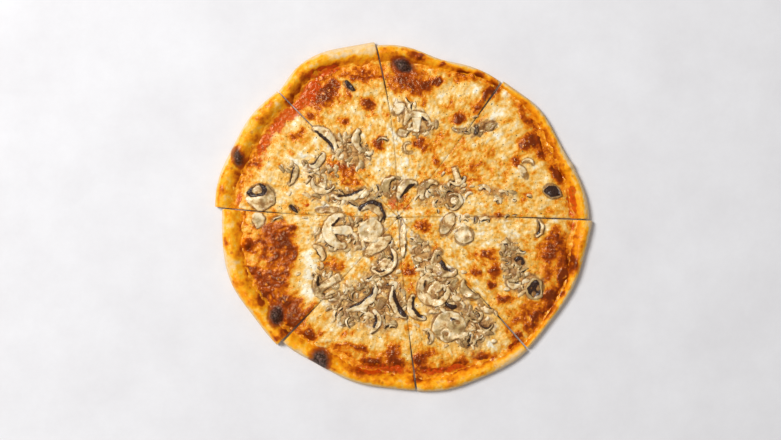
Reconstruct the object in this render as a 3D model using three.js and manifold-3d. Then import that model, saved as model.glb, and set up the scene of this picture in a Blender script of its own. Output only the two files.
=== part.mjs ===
// A mushroom pizza, baked thin and cut into eight slices that still lie together as one round.
//
// Millimetres, +Z up. The pizza lies flat on z = 0, with the middle of its outline over x = y = 0.
// Each slice is a stack of layers: dough with a raised rim, tomato sauce, and melted cheese. Slices of
// mushroom lie on the cheese, and their smallest scraps have baked into it. Everything is worked out
// round the point where the cuts cross, and one move at the end centres the whole pizza.

import * as THREE from "three";
import { mergeVertices } from "three/addons/utils/BufferGeometryUtils.js";
import Module from "manifold-3d";

const wasm = await Module();
wasm.setup();

// ---- Driving dimensions ----

const CROSSING = [-5.3, -0.7]; // where the cuts cross, from the middle of the outline
const TIP = 2; // radius at which the points of the slices end
const BASE = 3.4; // dough under the toppings
const SAUCE = 1; // tomato sauce
const CHEESE = 2.2; // melted cheese, away from its edge
const CHEESE_EDGE = 0.9; // and at its edge
const CHEESE_TAPER = 9; // width over which it thins
const LUMP = 0.5; // unevenness of the cheese
const LUMP_LENGTH = 9; // radians of a lump's wave, as a length
const CLEARANCE = 0.35; // between one layer and the next
const EDGE_HEIGHT = 4.2; // height of the rim's outermost line
const EDGE_WOBBLE = 0.8; // unevenness of the outline
const UNDERCUT = 5; // width over which the rim lifts off the table
const LIFT = 2.6; // how far it lifts
const MUSHROOM = 2.4; // thickness of a mushroom slice
const OVER_CHEESE = 0.6; // a mushroom's height over the cheese
const SCRAP_SUNK = 1; // how deep a scrap of mushroom has baked into the cheese

// The cuts, counter-clockwise from the right of the pizza: direction in degrees, width of the gap at the
// rim, and how far the cut bows sideways half way out.
const TIP_GAP = 0.5;
const CUTS = [
  { angle: -0.6, gap: 1.4, bow: 1.5 },
  { angle: 52.7, gap: 4.6, bow: -2 },
  { angle: 97.5, gap: 1.7, bow: -5.5 },
  { angle: 133.6, gap: 1.3, bow: -0.7 },
  { angle: 176.9, gap: 1.3, bow: 2 },
  { angle: 226.8, gap: 4.4, bow: 1.2 },
  { angle: 276.1, gap: 1.9, bow: -1.5 },
  { angle: 314.6, gap: 1.5, bow: 3 },
];

// The slices, each from its cut to the next. Along the rim, evenly spaced: the radius of the outline, the
// width of the bare rim, the width of the sauce that shows inside it, and the height of the rim.
const SLICES = [
  { edge: [176, 170, 164, 163, 159], rim: [13, 9, 5], band: [8, 9, 2], height: [11, 9.5, 8] },
  { edge: [156.5, 153.5, 151.5, 156, 159.5], rim: [5, 8, 15], band: [3, 4, 8], height: [8, 9, 12] },
  { edge: [163, 164.5, 166.5, 166, 160.5], rim: [16, 14, 14], band: [15, 16, 14], height: [10, 11, 12] },
  { edge: [161.5, 163.5, 165.5, 168.5, 168], rim: [15, 16, 15], band: [13, 12, 9], height: [12, 12, 10] },
  { edge: [161.5, 164, 164, 162, 161], rim: [16, 17, 15], band: [6, 5, 4], height: [10, 13, 12] },
  { edge: [155.5, 154.5, 155.5, 157, 160], rim: [12, 13, 11], band: [5, 8, 12], height: [11, 12, 11] },
  { edge: [161, 164, 166.5, 168.5, 170], rim: [10, 12, 9], band: [10, 7, 3], height: [10, 10, 8] },
  { edge: [169.5, 170.5, 172.5, 175, 179], rim: [5, 7, 14], band: [3, 4, 8], height: [8, 9, 11] },
];

// Bubbles that the oven raised near the rim: direction and distance of the middle, radius and height.
const BUBBLES = [
  { angle: 16.4, out: 163, radius: 7.5, height: 12 },
  { angle: 82.5, out: 149, radius: 6, height: 12 },
  { angle: 88.6, out: 140, radius: 9, height: 13.5 },
  { angle: 160, out: 156.5, radius: 7.5, height: 14 },
  { angle: 190, out: 141, radius: 7, height: 12 },
  { angle: 218.5, out: 144.5, radius: 8.5, height: 15 },
  { angle: 242.8, out: 148.5, radius: 8, height: 15 },
  { angle: 353.3, out: 147, radius: 7, height: 10 },
];

// Mushroom slices as large as a berry. A "cap" is a slice through the cap, a band of some depth along an
// arc that reaches "curl" degrees to each side of the direction "turn", with or without its stem. A
// "disc" is sliced across: its long side lies along "turn", holes are placed along and across it, and
// "gills" shows the stump of the stem.
const MUSHROOMS = [
  { kind: "cap", at: [54, 38], radius: 9, turn: -77, curl: 62, depth: 6, stem: { length: 12, width: 5 } },
  { kind: "cap", at: [51, 15], radius: 8.5, turn: -15, curl: 140, depth: 4, stem: { length: 8, width: 7 } },
  { kind: "cap", at: [29.5, 23.5], radius: 11.5, turn: 133, curl: 82, depth: 8 },
  { kind: "cap", at: [10, 22.5], radius: 12.5, turn: 134, curl: 80, depth: 9.5 },
  { kind: "gills", at: [142, 24], radius: 8.5, turn: -30, flat: 0.75 },
  { kind: "cap", at: [17, 86], radius: 12.5, turn: 92, curl: 90, depth: 7, stem: { length: 14, width: 7 } },
  { kind: "cap", at: [-75, 65], radius: 19.3, turn: 43.7, curl: 52, depth: 9 },
  { kind: "cap", at: [-32, 72], radius: 11, turn: 183, curl: 60, depth: 9 },
  { kind: "cap", at: [-5, 28], radius: 10.5, turn: 175, curl: 80, depth: 8.5 },
  { kind: "cap", at: [-78, 56], radius: 11, turn: -48, curl: 62, depth: 7 },
  { kind: "cap", at: [-69, 33], radius: 11.5, turn: 245, curl: 88, depth: 6, stem: { length: 8, width: 7 } },
  { kind: "cap", at: [-47, 34], radius: 18.8, turn: -73.5, curl: 48, depth: 7 },
  { kind: "cap", at: [-25, 3], radius: 13.5, turn: 60, curl: 85, depth: 10 },
  { kind: "gills", at: [-126, 19], radius: 13, turn: 0, flat: 0.95 },
  { kind: "cap", at: [-104.5, 41], radius: 13, turn: -15, curl: 48, depth: 7 },
  { kind: "disc", at: [-128, -3], radius: 6.8, turn: 70, flat: 0.9 },
  { kind: "cap", at: [-53, -12], radius: 17, turn: 183, curl: 98, depth: 11, stem: { length: 17, width: 9 } },
  { kind: "disc", at: [-25, -12.5], radius: 11.8, turn: 15, flat: 0.95 },
  { kind: "cap", at: [-76, -34], radius: 9.5, turn: 28, curl: 60, depth: 8 },
  { kind: "cap", at: [-66, -62], radius: 13, turn: 212, curl: 78, depth: 6, stem: { length: 23, width: 8 } },
  { kind: "cap", at: [-15, -39], radius: 14.5, turn: -40, curl: 92, depth: 7, stem: { length: 8, width: 9 } },
  { kind: "disc", at: [-19, -26], radius: 15, turn: 35, flat: 0.42 },
  { kind: "cap", at: [-41, -65.5], radius: 22, turn: -50.6, curl: 55, depth: 9 },
  { kind: "cap", at: [-27.5, -95], radius: 12.5, turn: -5, curl: 62, depth: 7 },
  { kind: "cap", at: [14, -73], radius: 22.5, turn: 204, curl: 45, depth: 8 },
  { kind: "disc", at: [4.2, -19], radius: 17, turn: 92, flat: 0.17 },
  { kind: "cap", at: [44.5, -41], radius: 15, turn: 215, curl: 88, depth: 13 },
  { kind: "cap", at: [33, -66], radius: 16, turn: 232, curl: 125, depth: 9, stem: { length: 16, width: 9 } },
  { kind: "cap", at: [22, -81], radius: 14, turn: 205, curl: 72, depth: 7 },
  { kind: "disc", at: [46.5, -100], radius: 15.3, turn: 0, flat: 0.93, holes: [[7.5, 3], [-2.5, -8]] },
  { kind: "cap", at: [71.5, -90.5], radius: 6.5, turn: -30, curl: 115, depth: 3.4 },
  { kind: "cap", at: [68.9, -64.1], radius: 12, turn: 225, curl: 70, depth: 9 },
  { kind: "disc", at: [45.5, -6.5], radius: 11.5, turn: 65, flat: 0.55 },
  { kind: "disc", at: [61, -17], radius: 9, turn: 30, flat: 0.9 },
  { kind: "cap", at: [124, -9], radius: 10, turn: -10, curl: 58, depth: 6 },
  { kind: "gills", at: [126, -66], radius: 9.5, turn: 60, flat: 0.8 },
];

// Scraps of mushroom that have baked into the cheese.
const SCRAPS = [
  { kind: "cap", at: [119.5, 48.5], radius: 6, turn: 80, curl: 70, depth: 4.5 },
  { kind: "disc", at: [115.5, 42], radius: 7, turn: -60, flat: 0.45 },
  { kind: "disc", at: [85, 84], radius: 6, turn: 20, flat: 0.7 },
  { kind: "disc", at: [72, 81], radius: 4.5, turn: 80, flat: 0.6 },
  { kind: "disc", at: [4.5, 78.5], radius: 5.5, turn: 10, flat: 0.75 },
  { kind: "disc", at: [0.5, 100], radius: 7.5, turn: 45, flat: 0.6 },
  { kind: "cap", at: [9.5, 64], radius: 5.5, turn: 190, curl: 120, depth: 2.8 },
  { kind: "cap", at: [56.5, 86], radius: 8, turn: -92, curl: 55, depth: 3.5 },
  { kind: "cap", at: [-14, 69], radius: 5.5, turn: 95, curl: 70, depth: 3.2 },
  { kind: "disc", at: [-45.5, 121], radius: 6, turn: -45, flat: 0.5 },
  { kind: "disc", at: [-64, 7], radius: 11, turn: 0, flat: 0.28 },
  { kind: "disc", at: [-96, 8.5], radius: 4.5, turn: -30, flat: 0.6 },
  { kind: "cap", at: [-110.5, -5], radius: 6.5, turn: 105, curl: 55, depth: 3.4 },
  { kind: "cap", at: [-60, -71], radius: 7, turn: -45, curl: 70, depth: 5 },
  { kind: "cap", at: [-44, -96], radius: 5, turn: 180, curl: 80, depth: 2.8 },
  { kind: "disc", at: [-16, -79], radius: 5.5, turn: 60, flat: 0.8 },
  { kind: "disc", at: [-12, -63], radius: 4.5, turn: 20, flat: 0.6 },
  { kind: "cap", at: [81, -98], radius: 6.8, turn: -95, curl: 85, depth: 5 },
  { kind: "cap", at: [83.5, -78.7], radius: 9.8, turn: 232, curl: 62, depth: 6 },
  { kind: "cap", at: [50, -76.5], radius: 7.5, turn: -110, curl: 52, depth: 4 },
  { kind: "disc", at: [52.5, -61], radius: 5, turn: 80, flat: 0.65 },
  { kind: "cap", at: [26, -111], radius: 7, turn: 10, curl: 62, depth: 6 },
  { kind: "disc", at: [64, -116], radius: 4, turn: 60, flat: 0.65 },
  { kind: "cap", at: [107, -57], radius: 9, turn: -95, curl: 58, depth: 7 },
  { kind: "disc", at: [112, -40], radius: 5, turn: -40, flat: 0.7 },
];

// ---- Places and heights ----

const COLUMNS = 9; // steps along the rim in each layer
const REACH = 165; // radius over which a cut's bow is spread
const EDGE_WAVES = 13; // waves of the outline's wobble, all the way round
const RIM_CREST = 0.45; // where the rim is highest, as a share of its width from the edge
const RIM_ROWS = [0, 0.1, 0.25, RIM_CREST, 0.7, 1, 1.4]; // rows over the rim, as shares of its width
const SAUCE_ROWS = [0.9, 1, 1.4]; // and those of the sauce that laps onto the rim
const BASE_ROWS = [0.72, 0.45, 0.2, 0]; // rows from the rim to the point, as shares of the way
const CHEESE_ROWS = [0.88, 0.74, 0.6, 0.46, 0.32, 0.18, 0];
const ROOM_HEIGHT = 30; // clear of everything

// A smooth value through evenly spaced ones, for t from 0 to 1.
function along(values, t) {
  const last = values.length - 1;
  const i = Math.min(Math.floor(t * last), last - 1);
  const f = t * last - i;
  const at = (k) => values[THREE.MathUtils.clamp(k, 0, last)];
  const [a, b, c, d] = [at(i - 1), at(i), at(i + 1), at(i + 2)];
  const [bend, twist] = [2 * a - 5 * b + 4 * c - d, 3 * b - a - 3 * c + d];
  return b + ((c - a) * f + bend * f ** 2 + twist * f ** 3) / 2;
}

// The direction of one side of a cut at a radius, in radians. side is 1 for its counter-clockwise side.
function cutAngle(cut, side, radius) {
  const gap = TIP_GAP + (cut.gap - TIP_GAP) * (radius / REACH) ** 2;
  const bow = cut.bow * Math.sin((Math.PI * radius) / REACH);
  return THREE.MathUtils.degToRad(cut.angle) + (bow + (side * gap) / 2) / radius;
}

// The two sides of slice k at a radius, as directions in radians.
function sides(k, radius) {
  const to = cutAngle(CUTS[(k + 1) % CUTS.length], -1, radius);
  const from = cutAngle(CUTS[k], 1, radius);
  return [from, to > from ? to : to + 2 * Math.PI];
}

function edgeRadius(k, t) {
  const [from, to] = sides(k, REACH);
  return along(SLICES[k].edge, t) + EDGE_WOBBLE * Math.sin(EDGE_WAVES * (from + (to - from) * t));
}

// The point of slice k at share t along the rim and a distance in from the edge.
function place(k, t, inward) {
  const radius = edgeRadius(k, t) - inward;
  const [from, to] = sides(k, radius);
  const angle = from + (to - from) * t;
  return [radius * Math.cos(angle), radius * Math.sin(angle)];
}

// The slice under a point, with its share along the rim and its distance in from the edge. A point in a
// cut belongs to the slice on its clockwise side.
function locate(x, y) {
  const radius = Math.hypot(x, y);
  const turned = (k) => THREE.MathUtils.euclideanModulo(Math.atan2(y, x) - sides(k, radius)[0], 2 * Math.PI);
  const k = SLICES.reduce((best, _, next) => (turned(next) < turned(best) ? next : best), 0);
  const [from, to] = sides(k, radius);
  const t = Math.min(turned(k) / (to - from), 1);
  return [k, t, edgeRadius(k, t) - radius];
}

// The rim's rounded section, at a share of its width from the edge.
function rimHeight(share, height) {
  const up = Math.sqrt(Math.max(1 - (1 - share / RIM_CREST) ** 2, 0));
  if (share < RIM_CREST) return EDGE_HEIGHT + (height - EDGE_HEIGHT) * up;
  const down = THREE.MathUtils.inverseLerp(RIM_CREST, RIM_ROWS.at(-1), share);
  return BASE + ((height - BASE) * (1 + Math.cos(Math.PI * down))) / 2;
}

// The top of the dough, straight from one row of the solid to the next.
function doughTop(k, t, inward) {
  const share = Math.max(inward / along(SLICES[k].rim, t), 0);
  if (share >= RIM_ROWS.at(-1)) return BASE;
  const height = along(SLICES[k].height, t);
  const row = RIM_ROWS.findIndex((next) => next > share);
  const [a, b] = [RIM_ROWS[row - 1], RIM_ROWS[row]];
  return THREE.MathUtils.mapLinear(share, a, b, rimHeight(a, height), rimHeight(b, height));
}

function doughBottom(inward) {
  return LIFT * Math.max(1 - inward / UNDERCUT, 0) ** 2;
}

function sauceTop(k, t, inward) {
  return doughTop(k, t, inward) + CLEARANCE + SAUCE;
}

function cheeseEdge(k, t) {
  return along(SLICES[k].rim, t) + along(SLICES[k].band, t);
}

function lumps(x, y) {
  const [a, b] = [x / LUMP_LENGTH, y / LUMP_LENGTH];
  return LUMP * (Math.sin(a) * Math.cos(b) + 0.5 * Math.sin(a + b));
}

function cheeseTop(k, t, inward, x, y) {
  const share = THREE.MathUtils.smoothstep(inward - cheeseEdge(k, t), 0, CHEESE_TAPER);
  return sauceTop(k, t, inward) + CLEARANCE + CHEESE_EDGE + (CHEESE - CHEESE_EDGE + lumps(x, y)) * share;
}

// The height of whatever lies on top at a point.
function surface(x, y) {
  const [k, t, inward] = locate(x, y);
  if (inward > cheeseEdge(k, t)) return cheeseTop(k, t, inward, x, y);
  return inward > along(SLICES[k].rim, t) ? sauceTop(k, t, inward) : doughTop(k, t, inward);
}

// ---- Solids ----

// A layer of slice k: a closed grid between heights(t, inward, x, y) = [low, high]. rows(t) gives the
// distances of its rows in from the edge.
function layer(k, rows, heights) {
  const across = rows(0).length;
  const count = (COLUMNS + 1) * across;
  const position = new Float32Array(count * 6);
  for (let i = 0; i <= COLUMNS; i++) {
    const t = i / COLUMNS;
    rows(t).forEach((inward, j) => {
      const [x, y] = place(k, t, inward);
      const [low, high] = heights(t, inward, x, y);
      position.set([x, y, low], (i * across + j) * 3);
      position.set([x, y, high], (count + i * across + j) * 3);
    });
  }
  const index = [];
  const quad = (a, b, c, d) => index.push(a, b, c, a, c, d);
  for (let i = 0; i < COLUMNS; i++) {
    for (let j = 0; j < across - 1; j++) {
      const [a, b] = [i * across + j, (i + 1) * across + j];
      quad(a + count, b + count, b + 1 + count, a + 1 + count);
      quad(a + 1, b + 1, b, a);
    }
    const [outer, inner] = [i * across, i * across + across - 1];
    quad(outer, outer + across, outer + across + count, outer + count);
    quad(inner + across, inner, inner + count, inner + across + count);
  }
  for (let j = 0; j < across - 1; j++) {
    const last = COLUMNS * across + j;
    quad(j + 1, j, j + count, j + 1 + count);
    quad(last, last + 1, last + 1 + count, last + count);
  }
  return solid(position, index);
}

function solid(position, index) {
  const mesh = new wasm.Mesh({ numProp: 3, vertProperties: position, triVerts: new Uint32Array(index) });
  return new wasm.Manifold(mesh);
}

function solidOf(geometry) {
  geometry.deleteAttribute("normal");
  geometry.deleteAttribute("uv");
  const merged = mergeVertices(geometry, 1e-4);
  return solid(merged.attributes.position.array, merged.index.array);
}

function geometryOf(manifold) {
  const mesh = manifold.getMesh();
  const geometry = new THREE.BufferGeometry();
  geometry.setAttribute("position", new THREE.BufferAttribute(mesh.vertProperties, 3));
  geometry.setIndex(new THREE.BufferAttribute(mesh.triVerts, 1));
  geometry.computeVertexNormals();
  return geometry;
}

// Rows from a distance in from the edge to the slice's point, at shares of that way.
function rowsToTip(k, t, start, shares) {
  const way = edgeRadius(k, t) - TIP - start;
  return shares.map((share) => start + way * (1 - share));
}

// All the room of slice k between its two cuts, from the table up.
function room(k) {
  return layer(k, (t) => [0, ...rowsToTip(k, t, 0, CHEESE_ROWS)], () => [0, ROOM_HEIGHT]);
}

function dough(k) {
  const rows = (t) => {
    const over = RIM_ROWS.map((share) => share * along(SLICES[k].rim, t));
    return [...over, ...rowsToTip(k, t, over.at(-1), BASE_ROWS)];
  };
  return layer(k, rows, (t, inward) => [doughBottom(inward), doughTop(k, t, inward)]);
}

function sauce(k) {
  const rows = (t) => {
    const over = SAUCE_ROWS.map((share) => share * along(SLICES[k].rim, t));
    return [...over, ...rowsToTip(k, t, over.at(-1), BASE_ROWS)];
  };
  return layer(k, rows, (t, inward) => [doughTop(k, t, inward) + CLEARANCE, sauceTop(k, t, inward)]);
}

function cheese(k) {
  const rows = (t) => {
    const edge = cheeseEdge(k, t);
    return [edge, edge + CHEESE_TAPER / 2, ...rowsToTip(k, t, edge, CHEESE_ROWS)];
  };
  const heights = (t, inward, x, y) => [sauceTop(k, t, inward) + CLEARANCE, cheeseTop(k, t, inward, x, y)];
  return layer(k, rows, heights);
}

// A bubble in the dough, which bursts up through the layers over it. It may be grown to clear them.
function bubble(k, { angle, out, radius, height }, grown = 0) {
  const turn = THREE.MathUtils.degToRad(angle);
  const ball = new THREE.IcosahedronGeometry(1, 1);
  ball.scale(radius + grown, radius + grown, height - BASE / 2 + grown);
  ball.translate(out * Math.cos(turn), out * Math.sin(turn), BASE / 2);
  const above = layer(k, (t) => [UNDERCUT, ...rowsToTip(k, t, UNDERCUT, [0])], () => [BASE / 2, 2 * height]);
  return solidOf(ball).intersect(above);
}

// ---- Mushrooms ----

const CAP_STEPS = 6; // along a cap's arc
const CAP_TAPER = 0.65; // share of its depth that a cap loses towards its ends
const DISC_HALF_SIDES = 6; // sides of half a disc
const HOLE = 0.14; // radius of a hole in a disc, as a share of the disc's
const STUMP = { width: 0.3, offset: 0.2, height: 1.7, sides: 8 }; // stem in the gills, by the disc's radius

// The outline of a cap with its top at +Y, round the middle of its arc.
function capShape({ radius, curl, depth, stem }) {
  const reach = THREE.MathUtils.degToRad(curl);
  const points = [];
  for (let i = 0; i <= CAP_STEPS; i++) {
    const angle = reach * (1 - (2 * i) / CAP_STEPS);
    points.push(new THREE.Vector2(radius * Math.sin(angle), radius * Math.cos(angle)));
  }
  for (let i = 0; i <= CAP_STEPS; i++) {
    const share = (2 * i) / CAP_STEPS - 1;
    const inner = radius - depth * (1 - CAP_TAPER * share ** 2);
    if (stem && i === CAP_STEPS / 2) {
      const [top, foot] = [inner + 1, inner - stem.length];
      points.push(new THREE.Vector2(-stem.width / 2, top), new THREE.Vector2(-stem.width / 2, foot));
      points.push(new THREE.Vector2(stem.width / 2, foot), new THREE.Vector2(stem.width / 2, top));
    } else if (!stem || Math.abs(inner * Math.sin(reach * share)) > stem.width / 2) {
      points.push(new THREE.Vector2(inner * Math.sin(reach * share), inner * Math.cos(reach * share)));
    }
  }
  return new THREE.Shape(points);
}

// The outline of a disc with its long side along +Y.
function discShape({ radius, flat, holes = [] }) {
  const shape = new THREE.Shape().absellipse(0, 0, radius * flat, radius, 0, 2 * Math.PI);
  holes.forEach(([along, across]) => {
    shape.holes.push(new THREE.Path().absarc(-across, along, HOLE * radius, 0, 2 * Math.PI));
  });
  return shape;
}

// The slab of a mushroom slice, flat on z = 0 with its place and direction.
function mushroomSlab({ kind, at, radius, turn, ...outline }) {
  const shape = kind === "cap" ? capShape({ radius, ...outline }) : discShape({ radius, ...outline });
  const options = { depth: MUSHROOM, bevelEnabled: false, curveSegments: DISC_HALF_SIDES };
  let slab = solidOf(new THREE.ExtrudeGeometry(shape, options));
  if (kind === "gills") {
    const height = MUSHROOM * STUMP.height;
    const stump = new THREE.CylinderGeometry(STUMP.width * radius, STUMP.width * radius, height, STUMP.sides);
    stump.rotateX(Math.PI / 2).translate(0, STUMP.offset * radius, height / 2);
    slab = slab.add(solidOf(stump));
  }
  const geometry = geometryOf(slab);
  return geometry.rotateZ(THREE.MathUtils.degToRad(turn - 90)).translate(at[0], at[1], 0);
}

// The middle of a mushroom's flesh, which says what slice of pizza it belongs to.
function heart({ at, radius, turn, depth }) {
  const out = depth ? radius - depth / 2 : 0;
  const angle = THREE.MathUtils.degToRad(turn);
  return [at[0] + out * Math.cos(angle), at[1] + out * Math.sin(angle)];
}

// A mushroom slice that follows what it lies on, from a height over it, cut where the pizza is cut.
function mushroomSolid(mushroom, over) {
  const geometry = mushroomSlab(mushroom);
  const position = geometry.attributes.position;
  for (let i = 0; i < position.count; i++) {
    position.setZ(i, position.getZ(i) + surface(position.getX(i), position.getY(i)) + over);
  }
  const [k] = locate(...heart(mushroom));
  return solid(position.array, geometry.index.array).intersect(room(k));
}

// ---- The pizza ----

const pizza = new THREE.Group();
pizza.position.set(CROSSING[0], CROSSING[1], 0);

const crustMaterial = new THREE.MeshStandardMaterial({ color: 0xdf9a3c, roughness: 0.75 });
const sauceMaterial = new THREE.MeshStandardMaterial({ color: 0xc4481a, roughness: 0.45 });
const cheeseMaterial = new THREE.MeshStandardMaterial({ color: 0xf0cf8c, roughness: 0.5 });
const mushroomMaterial = new THREE.MeshStandardMaterial({ color: 0xcdb183, roughness: 0.6 });

function addPiece(name, manifold, material) {
  const mesh = new THREE.Mesh(geometryOf(manifold), material);
  mesh.name = name;
  pizza.add(mesh);
}

function sliceAt({ angle, out }) {
  const turn = THREE.MathUtils.degToRad(angle);
  return locate(out * Math.cos(turn), out * Math.sin(turn))[0];
}

SLICES.forEach((_, k) => {
  const raised = BUBBLES.filter((one) => sliceAt(one) === k);
  const scraps = SCRAPS.filter((one) => locate(...heart(one))[0] === k);
  const cleared = (piece) => raised.reduce((rest, one) => rest.subtract(bubble(k, one, CLEARANCE)), piece);
  const crust = raised.reduce((whole, one) => whole.add(bubble(k, one)), dough(k));
  const melted = scraps.reduce((whole, one) => whole.add(mushroomSolid(one, -SCRAP_SUNK)), cheese(k));
  addPiece(`slice_${k + 1}_crust`, crust, crustMaterial);
  addPiece(`slice_${k + 1}_sauce`, cleared(sauce(k)), sauceMaterial);
  addPiece(`slice_${k + 1}_cheese`, cleared(melted), cheeseMaterial);
});

MUSHROOMS.forEach((mushroom, i) => {
  const name = `mushroom_${String(i + 1).padStart(2, "0")}`;
  addPiece(name, mushroomSolid(mushroom, OVER_CHEESE), mushroomMaterial);
});

export default pizza;
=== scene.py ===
"""A mushroom pizza, baked thin and cut into slices that still lie together.

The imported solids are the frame. Each slice gets a dough with a browned rim, its tomato sauce and its
melted cheese, all made from the same sizes as the solids, and the mushrooms lie on the cheese.
"""

import math
import random

import bmesh
import bpy
import numpy as np
from mathutils import Color, Matrix, Vector, noise


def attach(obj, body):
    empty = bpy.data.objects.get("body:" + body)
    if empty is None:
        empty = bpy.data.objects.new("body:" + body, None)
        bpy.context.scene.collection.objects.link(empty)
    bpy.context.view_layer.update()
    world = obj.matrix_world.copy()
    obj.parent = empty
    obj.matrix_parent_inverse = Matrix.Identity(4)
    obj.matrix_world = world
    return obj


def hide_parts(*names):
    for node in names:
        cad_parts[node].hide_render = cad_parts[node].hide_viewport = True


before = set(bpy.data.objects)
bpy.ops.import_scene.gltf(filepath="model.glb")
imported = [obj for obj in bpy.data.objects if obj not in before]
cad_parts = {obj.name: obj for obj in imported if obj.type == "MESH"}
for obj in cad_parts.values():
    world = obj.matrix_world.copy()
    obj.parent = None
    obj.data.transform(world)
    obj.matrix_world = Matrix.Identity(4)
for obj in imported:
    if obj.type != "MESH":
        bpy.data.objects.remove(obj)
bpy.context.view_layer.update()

bl_info = {
    "name": "Mushroom pizza",
    "version": (1, 0, 0),
    "blender": (4, 5, 0),
    "location": "View3D > Sidebar > Pizza",
    "description": "Dresses the solids of a mushroom pizza with dough, sauce, cheese and mushrooms",
    "category": "Add Mesh",
}

MM = 0.001  # everything below is worked out in millimetres, and a finished mesh is in metres

# ---- Sizes of the solids ----

CROSSING = (-5.3, -0.7)  # where the cuts cross, from the middle of the outline
TIP = 2  # how far from there the slices end
BASE = 3.4  # thickness of the dough under the toppings
SAUCE = 1  # thickness of the sauce
CHEESE = 2.2  # thickness of the cheese
CHEESE_EDGE = 0.9  # thickness of the cheese where it starts
CHEESE_TAPER = 9  # how far in from there it has its full thickness
LUMP = 0.5  # height of the waves in the cheese
LUMP_LENGTH = 9
CLEARANCE = 0.35  # room between two layers
EDGE_HEIGHT = 4.2  # height of the outline's upper edge
EDGE_WOBBLE = 0.8  # height of the small waves in the outline
EDGE_WAVES = 13
UNDERCUT = 5  # how far in from the outline the dough lies on the floor
LIFT = 2.6  # height of the outline's lower edge
REACH = 165  # radius at which a cut's gap is given
RIM_CREST = 0.45  # where the rim is highest, as a share of its width
RIM_END = 1.4  # where the rim has come down to the base
CAP_ENDS = 0.45  # share of its depth that a cap loses towards its ends
TIP_GAP = 0.5  # gap of a cut at the tips

# The cuts, counter-clockwise from the right: direction in degrees, gap at the rim and sideways bow.
CUTS = [
    (-0.6, 1.4, 1.5),
    (52.7, 4.6, -2),
    (97.5, 1.7, -5.5),
    (133.6, 1.3, -0.7),
    (176.9, 1.3, 2),
    (226.8, 4.4, 1.2),
    (276.1, 1.9, -1.5),
    (314.6, 1.5, 3),
]

# Each slice from its cut to the next, evenly spaced along the rim: the radius of the outline, the width
# of the bare rim, the width of the sauce that shows inside it, and the height of the rim.
EDGE = np.array([
    (176, 170, 164, 163, 159),
    (156.5, 153.5, 151.5, 156, 159.5),
    (163, 164.5, 166.5, 166, 160.5),
    (161.5, 163.5, 165.5, 168.5, 168),
    (161.5, 164, 164, 162, 161),
    (155.5, 154.5, 155.5, 157, 160),
    (161, 164, 166.5, 168.5, 170),
    (169.5, 170.5, 172.5, 175, 179),
])
RIM = np.array([
    (13, 9, 5), (5, 8, 15), (16, 14, 14), (15, 16, 15), (16, 17, 15), (12, 13, 11), (10, 12, 9), (5, 7, 14),
])
BAND = np.array([
    (8, 9, 2), (3, 4, 8), (15, 16, 14), (13, 12, 9), (6, 5, 4), (5, 8, 12), (10, 7, 3), (3, 4, 8),
])
HEIGHT = np.array([
    (11, 9.5, 8), (8, 9, 12), (10, 11, 12), (12, 12, 10), (10, 13, 12), (11, 12, 11), (10, 10, 8), (8, 9, 11),
])

# Bubbles that the oven raised near the rim: direction, distance, radius and height.
BUBBLES = [
    (16.4, 163, 7.5, 12),
    (82.5, 149, 6, 12),
    (88.6, 140, 9, 13.5),
    (160, 156.5, 7.5, 14),
    (190, 141, 7, 12),
    (218.5, 144.5, 8.5, 15),
    (242.8, 148.5, 8, 15),
    (353.3, 147, 7, 10),
]


def cap(x, y, **looks):
    """A slice through a cap: "curl" is half the angle of its arc, "depth" the width of its flesh, "stem"
    the length and width of its stem, "gill" the width of the dark gills along its inner arc, "outer_gill"
    along its outer one, and "arc" the part of the arc that has them."""
    return dict(kind="cap", at=(x, y), **looks)


def disc(x, y, **looks):
    """A round slice, "flat" times as wide as it is long, with "holes" at places from its middle."""
    return dict(kind="disc", at=(x, y), **looks)


def gills(x, y, **looks):
    """A round slice with a "ring" of dark gills: its middle and its two radii."""
    return dict(kind="gills", at=(x, y), **looks)


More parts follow.
